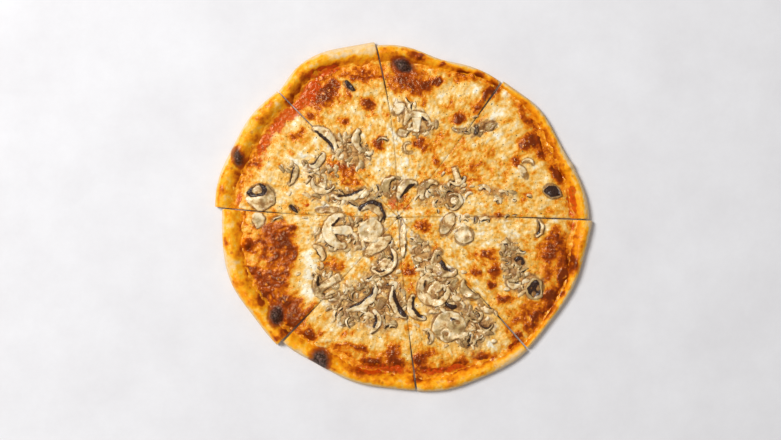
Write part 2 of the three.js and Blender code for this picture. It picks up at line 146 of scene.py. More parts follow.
# Mushroom slices, as in the solids. "turn" is the direction of the top of a cap in degrees, "tone" runs
# from pale flesh to olive brown, a "faint" slice is sunk into the cheese and a "dark" one is black.
MUSHROOMS = [
    cap(54, 38, radius=9, turn=-77, curl=62, depth=6, stem=(12, 5), gill=2.6),
    cap(51, 15, radius=8.5, turn=-15, curl=140, depth=4, stem=(8, 7), gill=0.9, tone=0.2),
    cap(29.5, 23.5, radius=11.5, turn=133, curl=82, depth=8, gill=1.6, tone=0.4),
    cap(10, 22.5, radius=12.5, turn=134, curl=80, depth=9.5, gill=4, tone=0.5),
    gills(142, 24, radius=8.5, turn=-30, flat=0.75, tone=0.3, ring=(0, 0, -2, 6.8)),
    cap(17, 86, radius=12.5, turn=92, curl=90, depth=7, stem=(14, 7), gill=3, arc=(0, 1)),
    cap(-75, 65, radius=19.3, turn=43.7, curl=52, depth=9, gill=3.5),
    cap(-32, 72, radius=11, turn=183, curl=60, depth=9, gill=1.3, tone=0.2),
    cap(-5, 28, radius=10.5, turn=175, curl=80, depth=8.5, gill=1, tone=0.45),
    cap(-78, 56, radius=11, turn=-48, curl=62, depth=7, gill=2),
    cap(-69, 33, radius=11.5, turn=245, curl=88, depth=6, stem=(8, 7), gill=1.6, tone=0.2),
    cap(-47, 34, radius=18.8, turn=-73.5, curl=48, depth=7, gill=3),
    cap(-25, 3, radius=13.5, turn=60, curl=85, depth=10, outer_gill=3.6),
    gills(-126, 19, radius=13, turn=0, flat=0.95, tone=0.25, ring=(-7.5, -3, 4, 8.5)),
    cap(-104.5, 41, radius=13, turn=-15, curl=48, depth=7, gill=2.6),
    disc(-128, -3, radius=6.8, turn=70, flat=0.9, tone=0.3, faint=0.5),
    cap(-53, -12, radius=17, turn=183, curl=98, depth=11, stem=(17, 9), gill=3, arc=(0.3, 1)),
    disc(-25, -12.5, radius=11.8, turn=15, flat=0.95, tone=0.3, faint=0.4),
    cap(-76, -34, radius=9.5, turn=28, curl=60, depth=8, gill=2),
    cap(-66, -62, radius=13, turn=212, curl=78, depth=6, stem=(23, 8), gill=2, tone=0.3),
    cap(-15, -39, radius=14.5, turn=-40, curl=92, depth=7, stem=(8, 9), gill=3),
    disc(-19, -26, radius=15, turn=35, flat=0.42, faint=0.6),
    cap(-41, -65.5, radius=22, turn=-50.6, curl=55, depth=9, gill=3),
    cap(-27.5, -95, radius=12.5, turn=-5, curl=62, depth=7, gill=3, arc=(-0.7, 0.7)),
    cap(14, -73, radius=22.5, turn=204, curl=45, depth=8, gill=4.5),
    disc(4.2, -19, radius=17, turn=92, flat=0.17),
    cap(44.5, -41, radius=15, turn=215, curl=88, depth=13, gill=5.5, tone=0.25),
    cap(33, -66, radius=16, turn=232, curl=125, depth=9, stem=(16, 9), gill=0.8),
    cap(22, -81, radius=14, turn=205, curl=72, depth=7, gill=3.6),
    disc(46.5, -100, radius=15.3, turn=0, flat=0.93, holes=[(7.5, 3), (-2.5, -8)], tone=0.45),
    cap(71.5, -90.5, radius=6.5, turn=-30, curl=115, depth=3.4, gill=1),
    cap(68.9, -64.1, radius=12, turn=225, curl=70, depth=9, gill=1, tone=0.4),
    disc(45.5, -6.5, radius=11.5, turn=65, flat=0.55, tone=0.4, faint=0.3),
    disc(61, -17, radius=9, turn=30, flat=0.9, tone=0.35, faint=0.7),
    cap(124, -9, radius=10, turn=-10, curl=58, depth=6, gill=2.6),
    gills(126, -66, radius=9.5, turn=60, flat=0.8, tone=1, ring=(0, 0, -2, 7)),
]

# Scraps of mushroom that have baked into the cheese.
SCRAPS = [
    cap(119.5, 48.5, radius=6, turn=80, curl=70, depth=4.5, gill=2),
    disc(115.5, 42, radius=7, turn=-60, flat=0.45),
    disc(85, 84, radius=6, turn=20, flat=0.7, tone=1),
    disc(72, 81, radius=4.5, turn=80, flat=0.6, dark=0.7),
    disc(4.5, 78.5, radius=5.5, turn=10, flat=0.75, tone=0.8),
    disc(0.5, 100, radius=7.5, turn=45, flat=0.6),
    cap(9.5, 64, radius=5.5, turn=190, curl=120, depth=2.8, gill=0.8),
    cap(56.5, 86, radius=8, turn=-92, curl=55, depth=3.5, gill=2.4),
    cap(-14, 69, radius=5.5, turn=95, curl=70, depth=3.2, gill=2),
    disc(-45.5, 121, radius=6, turn=-45, flat=0.5, dark=0.9),
    disc(-64, 7, radius=11, turn=0, flat=0.28),
    disc(-96, 8.5, radius=4.5, turn=-30, flat=0.6, dark=0.9),
    cap(-110.5, -5, radius=6.5, turn=105, curl=55, depth=3.4, gill=2.4),
    cap(-60, -71, radius=7, turn=-45, curl=70, depth=5, gill=1),
    cap(-44, -96, radius=5, turn=180, curl=80, depth=2.8, gill=1.2),
    disc(-16, -79, radius=5.5, turn=60, flat=0.8, tone=1),
    disc(-12, -63, radius=4.5, turn=20, flat=0.6, dark=0.8),
    cap(81, -98, radius=6.8, turn=-95, curl=85, depth=5, gill=2.5, tone=0.6),
    cap(83.5, -78.7, radius=9.8, turn=232, curl=62, depth=6, gill=1.2),
    cap(50, -76.5, radius=7.5, turn=-110, curl=52, depth=4, dark=0.9),
    disc(52.5, -61, radius=5, turn=80, flat=0.65, tone=1),
    cap(26, -111, radius=7, turn=10, curl=62, depth=6, gill=2.4),
    disc(64, -116, radius=4, turn=60, flat=0.65, dark=0.8),
    cap(107, -57, radius=9, turn=-95, curl=58, depth=7, gill=2.4),
    disc(112, -40, radius=5, turn=-40, flat=0.7, dark=0.9),
]

# ---- What the oven did ----
# Marks on the pizza: x, y, length, width, the direction of the length in degrees, and strength.

TOAST = [
    # slice 1
    (119, 69, 18, 13, 60, 1), (132, 58, 12, 9, -40, 0.9), (146, 42, 19, 9, -62, 0.95),
    (116, 93, 22, 7, -65, 0.7), (136, 70, 46, 15, -52, 0.5), (109, 52, 8, 7, 0, 0.75),
    (93, 2, 20, 5, 0, 0.7), (113, 15.5, 7, 6, 0, 0.55), (140, 7, 8, 6, 0, 0.6),
    (65, 4.5, 10, 4, 0, 0.6), (63.5, 25, 10, 6, 20, 0.4), (70, 48, 11, 12, 0, 0.45),
    (112, 118, 22, 4, -38, 0.8),
    # slice 2
    (18, 149, 14, 7, -20, 0.95), (42, 141.5, 6, 5, 0, 1), (44, 141, 17, 7, -15, 0.4),
    (12, 124, 42, 21, -8, 0.75), (9, 129.5, 12, 8, 0, 1), (25, 121.5, 12, 9, 0, 1),
    (36, 125, 12, 7, 20, 0.9), (0, 118, 14, 8, 0, 0.8), (60, 133, 12, 6, 0, 0.85),
    (74, 132, 10, 8, 0, 0.9), (88, 122, 26, 8, 75, 1), (81, 113, 40, 6, 56, 1),
    (52, 110, 13, 5, 70, 0.6), (24, 104.5, 9, 7, 0, 0.6), (57, 91, 12, 10, 0, 0.9),
    (22.8, 68, 15, 12, -30, 0.8), (34.4, 52, 8, 10, 0, 0.75), (41.5, 74, 15, 16, 0, 0.5),
    (85, 133, 10, 5, -50, 0.8),
    # slice 3
    (-72, 118, 34, 27, 50, 0.85), (-64, 118, 18, 24, -15, 1), (-69, 135, 32, 8, 12, 0.8),
    (-88, 120, 26, 14, 50, 0.3), (-34, 132, 34, 13, 0, 0.7), (-38, 135, 9, 7, 0, 0.9),
    (-24, 134, 14, 8, 0, 0.85), (-92, 112, 20, 15, 60, 0.6), (-79, 92, 13, 7, -10, 0.8),
    (-27.4, 104, 12, 10, -30, 0.95), (-50.6, 88.5, 9, 8, 0, 0.8), (-45.5, 113, 7, 8, 0, 0.55),
    (-18.5, 68, 13, 9, 0, 0.65), (-52, 152, 12, 5, 15, 0.55), (-64, 147, 8, 4, 20, 0.5),
    (-72, 144, 5, 4, 0, 0.4),
    # slice 4
    (-92, 74, 19, 12, 20, 0.45), (-97, 60, 8, 6, 0, 0.6), (-50, 40, 34, 22, -20, 0.45),
    (-114, 52, 7, 8, 0, 0.5), (-83, 11, 5, 4, 0, 0.75), (-92, 17, 10, 8, 0, 0.4),
    (-136, 48, 34, 20, 72, 0.5), (-126, 62, 24, 9, 65, 0.6), (-163, 22, 12, 8, 80, 0.4),
    (-55, 46, 10, 8, 0, 0.55), (-41, 33, 12, 8, 0, 0.55), (-60, 30, 9, 6, 0, 0.5),
    # slice 5
    (-108, -28, 27, 40, 0, 0.85), (-113, -55, 34, 26, 60, 0.8), (-113, -9, 26, 10, 0, 0.75),
    (-98, -10, 9, 10, 0, 0.7), (-100, -30, 14, 28, 10, 0.95), (-120, -32, 14, 26, 0, 0.5),
    (-136, -25, 13, 15, 0, 0.8), (-159, -21.5, 7, 9, 0, 0.75), (-139, -41, 8, 4, 0, 0.6),
    (-134, -49, 16, 7, -15, 0.75), (-128, -54, 8, 8, 0, 0.9), (-124.5, -72, 12, 15, 0, 0.8),
    (-115, -72, 6, 14, 0, 0.75), (-95, -88, 21, 27, 0, 1), (-104, -80, 20, 20, 0, 0.8),
    (-77.5, -78, 8, 6, 0, 0.6), (-112, -111, 7, 6, 0, 0.75), (-59, -44, 18, 12, -10, 0.65),
    (-160, -36, 5, 5, 0, 0.4), (-148, -12, 8, 5, 40, 0.3), (-150, -62, 6, 4, -50, 0.4),
    (-144, -5, 7, 6, 0, 0.3), (-99, -99, 26, 9, 47, 0.9), (-85, -88, 30, 6, 47, 0.8),
    # slice 6
    (-81, -108.5, 11, 10, 0, 0.9), (-71, -106, 4, 7, 0, 0.75), (-51.5, -118, 24, 7, 0, 0.6),
    (-34, -121, 13, 6, -10, 0.75), (-20, -139, 48, 11, 0, 0.65), (-10, -141, 26, 8, 0, 0.75),
    (-5, -126, 14, 20, -10, 0.7), (-50, -107, 12, 8, 0, 0.5), (0, -133, 12, 12, 0, 0.8),
    (-24, -132, 22, 8, -10, 0.75),
    # slice 7
    (22, -139, 16, 8, 0, 0.75), (20, -131, 11, 15, 0, 0.8), (46, -140, 40, 7, 8, 0.7),
    (75, -128, 14, 8, 20, 0.75), (57, -132.5, 14, 8, 20, 0.75), (85, -131, 14, 6, 35, 0.6),
    (106, -117, 12, 4, 40, 0.8), (11, -51, 11, 9, 0, 0.65), (12, -62, 5, 12, 0, 0.5),
    (30, -125, 20, 6, 10, 0.6), (18, -148, 7, 8, 0, 0.85),
    # slice 8
    (23.5, -7.5, 13, 8, -50, 0.8), (83, -34.5, 16, 10, -10, 0.7), (89, -49, 11, 15, 0, 0.75),
    (72.5, -50, 9, 9, 0, 0.7), (88, -61.5, 9, 8, 0, 0.9), (67.5, -34.5, 8, 7, 0, 0.55),
    (98, -76, 12, 8, 0, 0.7), (145, -18, 14, 17, 0, 0.85), (145, -32, 34, 26, -40, 0.8),
    (159, -40, 18, 14, -60, 0.95), (151, -56, 9, 26, -12, 0.9), (143.5, -70.5, 26, 13, 35, 0.95),
    (134.5, -83.5, 20, 14, 45, 0.85), (125.5, -91, 8, 10, 0, 1), (110, -108, 10, 6, 0, 1),
    (121, -100, 18, 10, 40, 0.7), (120, -85, 24, 18, 40, 0.5), (136, -50, 16, 12, 0, 0.5),
    (148, -24, 12, 8, 0, 0.9), (160, -7.4, 8, 8, 0, 0.6),
]

# Golden cheese and glazed dough, where fat has run.
GOLD = [
    (50, 120, 60, 40, -20, 0.4), (125, 75, 60, 34, -55, 1), (95, 60, 30, 40, 0, 0.45),
    (-50, 42, 42, 30, -20, 0.7), (-92, 74, 26, 18, 20, 0.7), (-134, -40, 24, 76, 10, 0.7),
    (-118, -38, 50, 86, 8, 1), (-110, -84, 44, 34, 0, 0.9), (-60, -44, 26, 18, 0, 0.6),
    (-35, -130, 90, 22, 5, 0.8), (50, -134, 80, 18, 12, 0.7), (130, -70, 74, 44, 55, 0.85),
    (112, -93, 46, 36, 40, 0.9), (84, -45, 34, 34, 0, 0.6), (20, -8, 30, 14, -50, 0.3),
    (0, 16, 20, 20, 0, 0.6), (12, 124, 54, 30, 0, 0.8), (-60, 120, 80, 34, 30, 0.7),
    (-40, 90, 50, 34, 0, 0.3), (108, 20, 60, 30, 0, 0.35), (60, 42, 60, 48, 20, 0.9),
    (-70, -100, 50, 24, -40, 0.5), (10, -52, 16, 40, 0, 0.5), (30, -118, 40, 14, 0, 0.5),
    (140, 10, 30, 20, 0, 0.5), (-92, 14, 40, 16, 0, 0.3), (0, -95, 30, 30, 0, 0.35),
]

# Pale, creamy cheese.
CREAM = [
    (39.5, 115, 9, 14, 0, 0.8), (70, 112, 16, 20, 0, 1), (92, 96, 20, 16, 40, 0.9),
    (114, 82, 18, 9, -20, 0.9), (0, 46, 16, 20, 0, 0.8), (43, 55, 14, 12, 0, 0.6),
    (-84, -46, 24, 44, 0, 0.95), (-81, -72, 16, 14, 0, 1), (-90, 60, 32, 22, -10, 0.9),
    (-97, 84, 24, 12, 30, 0.9), (-80, 44, 20, 16, 0, 0.7), (-16, 49, 18, 14, 0, 0.7),
    (-70, -92, 34, 20, -40, 0.75), (-96, -2, 30, 9, 0, 0.8), (-78, -14, 26, 12, 0, 0.7),
    (-44, -28, 26, 8, 45, 0.7), (75, -25, 20, 14, 0, 0.6), (88, -95, 12, 16, 0, 0.6),
    (10, -20, 8, 30, 5, 0.8), (-52, 22, 20, 8, 0, 0.5), (5, 108, 14, 18, 0, 0.6),
    (-88, 30, 18, 12, 0, 0.5), (100, -22, 20, 16, 0, 0.4), (60, 62, 20, 16, 0, 0.4),
    (-60, -82, 40, 30, -40, 0.5), (-46, -112, 10, 5, 0, 0.8), (133, 16, 16, 10, 0, 0.5),
    (118, 96, 10, 14, 40, 0.5), (54, -61, 20, 18, 0, 0.3), (-28, 16, 30, 10, 0, 0.4),
    (96, -93, 14, 8, 60, 0.6),
]

# Where the tomato sauce shows through.
TOMATO = [
    (-98, 96, 24, 15, 40, 1), (-111, 84, 22, 12, 50, 1), (-122, 69, 24, 11, 60, 0.85),
    (-126, 54, 24, 9, 75, 0.75), (-82, 112, 32, 15, 58, 1), (-76, 104, 14, 12, 40, 0.5),
    (-69, 135, 34, 8, 15, 0.9), (160, 16, 30, 8, 95, 1), (-146, 17, 14, 7, 90, 0.5),
    (-5, 14, 9, 16, 0, 0.9), (6, 9, 18, 8, 0, 0.7), (-97, 60, 5, 4, 0, 0.6), (-83, 11, 5, 4, 0, 0.9),
    (106, -118, 14, 4, 40, 0.7), (110, -12, 10, 5, 0, 0.3), (-93, 17, 8, 8, 0, 0.3),
    (160.5, -8, 9, 8, 0, 0.6), (23.5, -7.5, 12, 6, -50, 0.4), (-62, 119, 14, 18, 0, 0.4),
    (40, -140, 46, 7, 5, 0.85), (-16, -140, 46, 10, 0, 0.9), (19, -131, 9, 14, 0, 0.5),
    (12, 122, 34, 12, 0, 0.3),
]

# Burnt dough and cheese.
CHAR = [
    (4.5, 140, 23, 14, -22, 1), (-147, 55, 11, 20, 15, 0.9), (-112, -89.5, 16, 22, 0, 0.95),
    (-71.5, -131, 19, 21, 10, 1), (18, 149.5, 9, 4, -20, 0.4), (42, 141.5, 3, 3, 0, 0.6),
    (-137, -22, 7, 8, 0, 0.35), (-126, -78, 6, 7, 0, 0.5), (88.6, 133, 7, 6, 0, 0.6),
    (146, -12, 7, 5, 0, 0.3), (158, -44, 6, 8, 0, 0.3), (-159, -20, 4, 5, 0, 0.3),
    (-61, 112, 9, 11, 0, 0.3), (-12, -141, 14, 5, 0, 0.3), (91, 120, 4, 16, -15, 0.4),
    (-95, -92, 12, 14, 0, 0.25), (-134, -49, 9, 4, -15, 0.4), (-81, -107, 5, 4, 0, 0.3),
    (147, 43, 5, 10, 20, 0.25),
]

# Dough that stayed pale under flour.
FLOUR = [
    (-48, 153, 54, 11, 17, 1), (-28, 153, 20, 14, 8, 0.9), (-76, 141, 20, 7, 30, 0.6),
    (-151, 29, 10, 10, 0, 0.6), (106, -130, 36, 12, 40, 0.8), (157, -73, 30, 6, 62, 0.9),
    (44, -147, 26, 5, 15, 0.5), (-60, -146, 34, 6, -18, 0.6), (-108, 102.5, 9, 8, 0, 0.7),
    (-135, -95, 34, 5, -52, 0.5), (-133, -84, 12, 8, -50, 0.5), (40, 152, 30, 5, -15, 0.7),
    (-155, -32, 80, 16, 78, 0.4), (-154, 64, 50, 6, 68, 0.3), (-130, 98, 44, 6, 48, 0.3),
    (165, 28, 60, 10, -80, 0.26), (-92, -124, 30, 8, -36, 0.3), (120, -118, 30, 9, 42, 0.3),
    (62, 138, 34, 9, -24, 0.35), (158, 50, 40, 5, -65, 0.8), (172, 14, 34, 4, -85, 0.7),
    (176, -10, 30, 3, 88, 0.6), (-124, -108, 24, 4, -50, 0.6),
]

# Dark gills and spots on the mushrooms.
GILL_SPOTS = [
    (-49, -19, 9, 5, 0, 1), (-41, -1, 12, 5, -60, 0.8), (-77, -33, 6, 9, 20, 1),
    (-73, -59, 5, 9, 20, 1), (-31, -45, 6, 7, 0, 0.8), (25, -60, 5, 5, 0, 1), (36, -72, 6, 3, -20, 1),
    (47, 7, 3, 6, 0, 0.7), (20.5, 75, 2, 12, 90, 0.6), (25, 88, 8, 5, -30, 0.7),
    (6.5, -29, 2, 12, 0, 0.7), (49, -31, 8, 16, 50, 1), (50.5, -93.5, 6, 2, 0, 0.9),
    (41, -103, 5, 2, 30, 0.6), (12, 12, 5, 3, 0, 0.4), (-9, -34, 9, 3, 45, 0.6),
]

# Where small bits of mushroom and their juice cover the cheese.
MASH = [
    (50, -88, 78, 34, -52, 1), (24, -38, 20, 46, 22, 0.8), (34, -64, 40, 36, 0, 0.4),
    (70, -104, 40, 24, 20, 0.9), (-16, -76, 46, 56, 0, 0.9), (-12, -46, 22, 34, -35, 0.9),
    (-42, -80, 46, 42, 30, 0.7), (-14, -28, 26, 30, 20, 0.6), (-46, -16, 64, 30, 8, 0.8),
    (-66, -56, 26, 30, 40, 0.5), (-50, 20, 70, 16, 0, 0.6), (-72, 42, 26, 40, 60, 0.4),
    (-44, 62, 40, 26, -30, 0.9), (-4, 27, 28, 24, 0, 0.5), (22, 84, 34, 22, 0, 0.5),
    (4, 98, 18, 22, 0, 0.5), (42, 22, 50, 22, 15, 0.6), (76, 82, 28, 12, 25, 0.9),
    (92, 22, 36, 12, -15, 0.5), (106, -44, 22, 50, 10, 0.8), (122, -62, 24, 22, 0, 0.8),
    (52, -12, 34, 20, -20, 0.4), (-100, 44, 20, 20, 0, 0.3), (84, 0, 60, 8, 0, 0.4),
]

# Small bits of mushroom loose on the cheese: x, y, length, width, direction, darkness.
BITS = [
    (121, 20, 6, 4, -20, 1), (98, -23, 5, 5, 0, 0.9), (111, -30, 3, 3, 0, 1),
    (111, -47, 8, 2.5, 60, 0.9), (109, -58, 5, 4, 0, 1), (71, 93, 6, 3, 20, 0.6),
    (41, 40, 6, 3, 60, 0.6), (17, 19, 9, 3, 50, 0.7), (34, 12, 8, 2, -50, 0.9), (37, 6, 5, 2, -85, 0.9),
    (56, -1, 8, 3, 88, 0.8), (69, -101.5, 5, 6, 40, 0.9), (33, -86.5, 10, 5, 0, 0.7),
    (54, -74, 9, 4, -20, 0.8), (88, -114, 6, 5, 0, 0.5), (-69, 13, 5, 5, 0, 0.3),
    (17, -99, 7, 3, -20, 0.05), (26, -103, 8, 3, 10, 0.1), (-8, -83, 9, 1.8, -70, 0.9),
    (60, 30, 6, 4, 20, 0.3), (68, 29, 5, 3, 0, 0.4), (76, 27, 6, 4, 40, 0.35), (48, 28, 5, 3, 0, 0.3),
    (95, 24, 5, 5, 0, 0.6), (-60, 55, 7, 3, 70, 0.5), (-54, 62, 6, 3, -30, 0.4),
    (-46, 50, 8, 3, 80, 0.45), (-38, 45, 6, 3, 80, 0.5), (-58, 68, 6, 4, 20, 0.3),
    (-49, 70, 7, 3, -60, 0.35), (8, 97, 6, 3, 60, 0.2), (15, 104, 7, 3, 90, 0.1),
    (22, 99, 6, 3, -30, 0.3), (-92, -52, 5, 3, 30, 0.1), (-36, -14, 4, 3, 0, 0.5),
    (-60, 20, 5, 3, 0, 0.35), (-6, -60, 6, 4, 30, 0.5), (-4, -70, 7, 3, 80, 0.6),
    (0, -50, 6, 4, 20, 0.4), (18, -22, 9, 5, -20, 0.35), (26, -30, 8, 5, 10, 0.4),
    (18, -38, 8, 4, 0, 0.3), (60, -50, 6, 4, 0, 0.3), (74, -84, 7, 3, -40, 0.7),
    (90, -88, 6, 4, -60, 0.5), (62, -108, 5, 6, 0, 0.8), (44, -118, 5, 3, 20, 0.4),
    (100, -66, 6, 4, 0, 0.5), (118, -52, 7, 4, 30, 0.4), (-14, -2, 6, 3, 80, 0.4),
    (-86, 0, 6, 3, -10, 0.4), (-100, 22, 5, 3, 60, 0.25),
]


# ---- The shape of the pizza ----


def along(table, k, t):
    """A smooth value through a slice's evenly spaced ones, for t from 0 to 1."""
    last = table.shape[1] - 1
    i = np.clip(np.floor(t * last).astype(int), 0, last - 1)
    f = t * last - i
    a, b, c, d = (table[k, np.clip(i + step, 0, last)] for step in (-1, 0, 1, 2))
    bend = 2 * a - 5 * b + 4 * c - d
    twist = 3 * b - a - 3 * c + d
    return b + ((c - a) * f + bend * f**2 + twist * f**3) / 2


def cut_angle(cut, side, radius):
    """The direction of one side of a cut at a radius; side is 1 for its counter-clockwise side."""
    angle, gap_at_rim, bow = cut
    gap = TIP_GAP + (gap_at_rim - TIP_GAP) * (radius / REACH) ** 2
    sideways = bow * np.sin(math.pi * radius / REACH) + side * gap / 2
    return math.radians(angle) + sideways / radius


def sides(k, radius):
    """The directions of the two sides of slice k at a radius."""
    start = cut_angle(CUTS[k], 1, radius)
    end = cut_angle(CUTS[(k + 1) % len(CUTS)], -1, radius)
    return start, np.where(end > start, end, end + 2 * math.pi)


SPANS = np.array([sides(k, REACH) for k in range(len(CUTS))], float)


def edge_radius(k, t):
    """The radius of the outline at share t along the rim of slice k."""
    start, end = SPANS[k, 0], SPANS[k, 1]
    return along(EDGE, k, t) + EDGE_WOBBLE * np.sin(EDGE_WAVES * (start + (end - start) * t))


def place(k, t, inward):
    """The point of slice k at share t along the rim and a distance in from the edge."""
    radius = edge_radius(k, t) - inward
    start, end = sides(k, radius)
    angle = start + (end - start) * t
    return radius * np.cos(angle), radius * np.sin(angle)


def locate(x, y):
    """The slice under each point, its share along the rim and its distance in from the edge."""
    radius = np.hypot(x, y)
    spans = np.array([sides(k, radius) for k in range(len(CUTS))])
    past_cut = (np.arctan2(y, x) - spans[:, 0]) % (2 * math.pi)
    k = past_cut.argmin(axis=0)
    every = np.arange(len(k))
    t = np.minimum(past_cut[k, every] / (spans[k, 1, every] - spans[k, 0, every]), 1)
    return k, t, edge_radius(k, t) - radius


def smoothstep(low, high, value):
    """Goes smoothly from 0 to 1 while a value goes from low to high."""
    share = np.clip((value - low) / (high - low), 0, 1)
    return share * share * (3 - 2 * share)


def dough_top(k, t, inward):
    """The dough's rounded rim and its flat base."""
    share = np.maximum(inward / along(RIM, k, t), 0)
    height = along(HEIGHT, k, t)
    up = EDGE_HEIGHT + (height - EDGE_HEIGHT) * np.sqrt(np.maximum(1 - (1 - share / RIM_CREST) ** 2, 0))
    fallen = np.clip((share - RIM_CREST) / (RIM_END - RIM_CREST), 0, 1)
    down = BASE + (height - BASE) * (1 + np.cos(math.pi * fallen)) / 2
    return np.where(share < RIM_CREST, up, down)


def dough_bottom(inward):
    """The dough's underside, which rises to the outline."""
    return LIFT * np.maximum(1 - inward / UNDERCUT, 0) ** 2


def sauce_top(k, t, inward):
    """The top of sauce that is fully thick."""
    return dough_top(k, t, inward) + CLEARANCE + SAUCE


def cheese_edge(k, t):
    """How far in from the outline the cheese starts."""
    return along(RIM, k, t) + along(BAND, k, t)


def lumps(x, y):
    """The waves in the cheese."""
    a, b = x / LUMP_LENGTH, y / LUMP_LENGTH
    return LUMP * (np.sin(a) * np.cos(b) + 0.5 * np.sin(a + b))


def turned(x, y, degrees):
    """Points turned counter-clockwise round 0."""
    c, s = math.cos(math.radians(degrees)), math.sin(math.radians(degrees))
    return x * c - y * s, x * s + y * c


def noise_at(x, y, size, layer):
    """Smooth noise between about -1 and 1, whose lumps are a size across; each layer is another noise."""
    return np.array([noise.noise((a / size, b / size, layer)) for a, b in zip(x, y)])


def cells_at(x, y, size, layer):
    """0 in the middle of each of many uneven cells and about 1 between them."""
    return np.array([noise.voronoi((a / size, b / size, layer))[0][0] for a, b in zip(x, y)])


# ---- Painting ----

HALO = 7  # how much wider than a brown mark the gold round it is


def blob(x, y, mark):
    """How strongly a mark shows at each point: fully in its middle, and fading past its edge."""
    cx, cy, length, width, turn, strength = mark
    lengthwise, across = turned(x - cx, y - cy, -turn)
    far = np.hypot(lengthwise / (length / 2), across / (width / 2))
    return strength * np.exp(-0.75 * far**3.4)


def painted(x, y, marks):
    """The strongest mark at each point."""
    value = np.zeros(len(x))
    for mark in marks:
        reach = max(mark[2], mark[3])
        near = (np.abs(x - mark[0]) < reach) & (np.abs(y - mark[1]) < reach)
        value[near] = np.maximum(value[near], blob(x[near], y[near], mark))
    return value


def frayed(x, y):
    """Points moved about, so that what is painted on them has ragged edges."""
    wide, fine = 2.1, 0.8
    fx = x + wide * noise_at(x, y, 5, 3.3) + fine * noise_at(x, y, 2.2, 5.3)
    fy = y + wide * noise_at(x, y, 5, 8.3) + fine * noise_at(x, y, 2.2, 9.3)
    return fx, fy


def bake(x, y):
    """What the oven did at each point, by name."""
    fx, fy = frayed(x, y)
    halos = [
        (cx, cy, length + HALO, width + HALO, turn, 0.9)
        for cx, cy, length, width, turn, strength in TOAST
        if strength > 0.6
    ]
    return {
        "toast": painted(fx, fy, TOAST),
        "gold": painted(fx, fy, GOLD + halos),
        "cream": painted(fx, fy, CREAM),
        "tomato": painted(fx, fy, TOMATO),
        "char": painted((x + fx) / 2, (y + fy) / 2, CHAR),
        "flour": painted(fx, fy, FLOUR),
        "mash": painted(fx, fy, MASH),
    }


def outline(look, x, y):
    """How far points are outside a mushroom slice's outline, in its own frame; less than 0 inside."""
    radius = look["radius"]
    if look["kind"] != "cap":
        return (np.hypot(x / look["flat"], y) - radius) * math.sqrt(look["flat"])
    half = math.radians(look["curl"])
    angle = np.clip(np.arctan2(x, y), -half, half)
    band = look["depth"] * (1 - CAP_ENDS * (angle / half) ** 2)
    middle = radius - band / 2
    far = np.hypot(x - middle * np.sin(angle), y - middle * np.cos(angle)) - band / 2
    if "stem" in look:
        length, width = look["stem"]
        beside = np.abs(x) - width / 2
        beyond = np.abs(y - (radius - look["depth"] - length / 2)) - length / 2
        outside = np.hypot(np.maximum(beside, 0), np.maximum(beyond, 0))
        far = np.minimum(far, outside + np.minimum(np.maximum(beside, beyond), 0))
    return far


def from_mushrooms(x, y):
    """How far each point is from the nearest slice of mushroom, up to 10 mm; less than 0 on one."""
    nearest = np.full(len(x), 10.0)
    for look in MUSHROOMS + SCRAPS:
        dx, dy = x - look["at"][0], y - look["at"][1]
        close = np.hypot(dx, dy) < look["radius"] + 26
        own_x, own_y = turned(dx[close], dy[close], 90 - look["turn"])
        nearest[close] = np.minimum(nearest[close], outline(look, own_x, own_y))
    return nearest


# ---- Meshes ----

WIDEST_GAP = 2.2  # the widest gap that a cut leaves between two crusts
SAUCE_SUNK = 0.8  # how deep in the dough the sauce's thin edge lies
COLUMNS = 192  # faces along the rim of a crust
COARSE = 8  # how many times larger the faces below are
SHARP = 58  # degrees between two faces from which on their edge shows


def block(columns, rows, walls):
    """A unit block, fine on top and coarse below. Its x says how far along the rim a vertex goes, its y
    how far in from the edge, and its z how far up."""
    bm = bmesh.new()
    lid = Matrix.Translation((0.5, 0.5, 1))
    bmesh.ops.create_grid(bm, x_segments=columns, y_segments=rows, size=0.5, matrix=lid)
    border = [edge for edge in bm.edges if edge.is_boundary]
    for _ in range(walls):
        made = bmesh.ops.extrude_edge_only(bm, edges=border)["geom"]
        fresh = [item for item in made if isinstance(item, bmesh.types.BMVert)]
        bmesh.ops.translate(bm, vec=(0, 0, -1 / walls), verts=fresh)
        border = [item for item in made if isinstance(item, bmesh.types.BMEdge) and item.is_boundary]
    floor = Matrix.Translation((0.5, 0.5, 0)) @ Matrix.Scale(0.998, 4)
    made = bmesh.ops.create_grid(
        bm, x_segments=columns // COARSE, y_segments=rows // COARSE, size=0.5, matrix=floor
    )
    border += dict.fromkeys(edge for vert in made["verts"] for edge in vert.link_edges if edge.is_boundary)
    for axis, side in ((0, 0), (0, 1), (1, 0), (1, 1)):
        strip = [edge for edge in border if all(abs(vert.co[axis] - side) < 0.002 for vert in edge.verts)]
        bmesh.ops.bridge_loops(bm, edges=strip)
    bmesh.ops.recalc_face_normals(bm, faces=bm.faces)
    mesh = bpy.data.meshes.new("block")
    bm.to_mesh(mesh)
    bm.free()
    return mesh


def points_of(mesh):
    """The x, y and z of a mesh's vertices."""
    flat = np.empty(len(mesh.vertices) * 3, np.float32)
    mesh.vertices.foreach_get("co", flat)
    return flat.reshape(-1, 3).astype(float).T


def set_points(mesh, x, y, z):
    """Puts a mesh's vertices at points in millimetres round the crossing."""
    flat = np.stack([x + CROSSING[0], y + CROSSING[1], z], axis=1) * MM
    mesh.vertices.foreach_set("co", flat.astype(np.float32).ravel())
    mesh.update()


def set_values(mesh, values):
    """Stores named values on a mesh's vertices, for its material to read."""
    for name, value in values.items():
        attribute = mesh.attributes.new(name, "FLOAT", "POINT")
        attribute.data.foreach_set("value", np.asarray(value, np.float32))


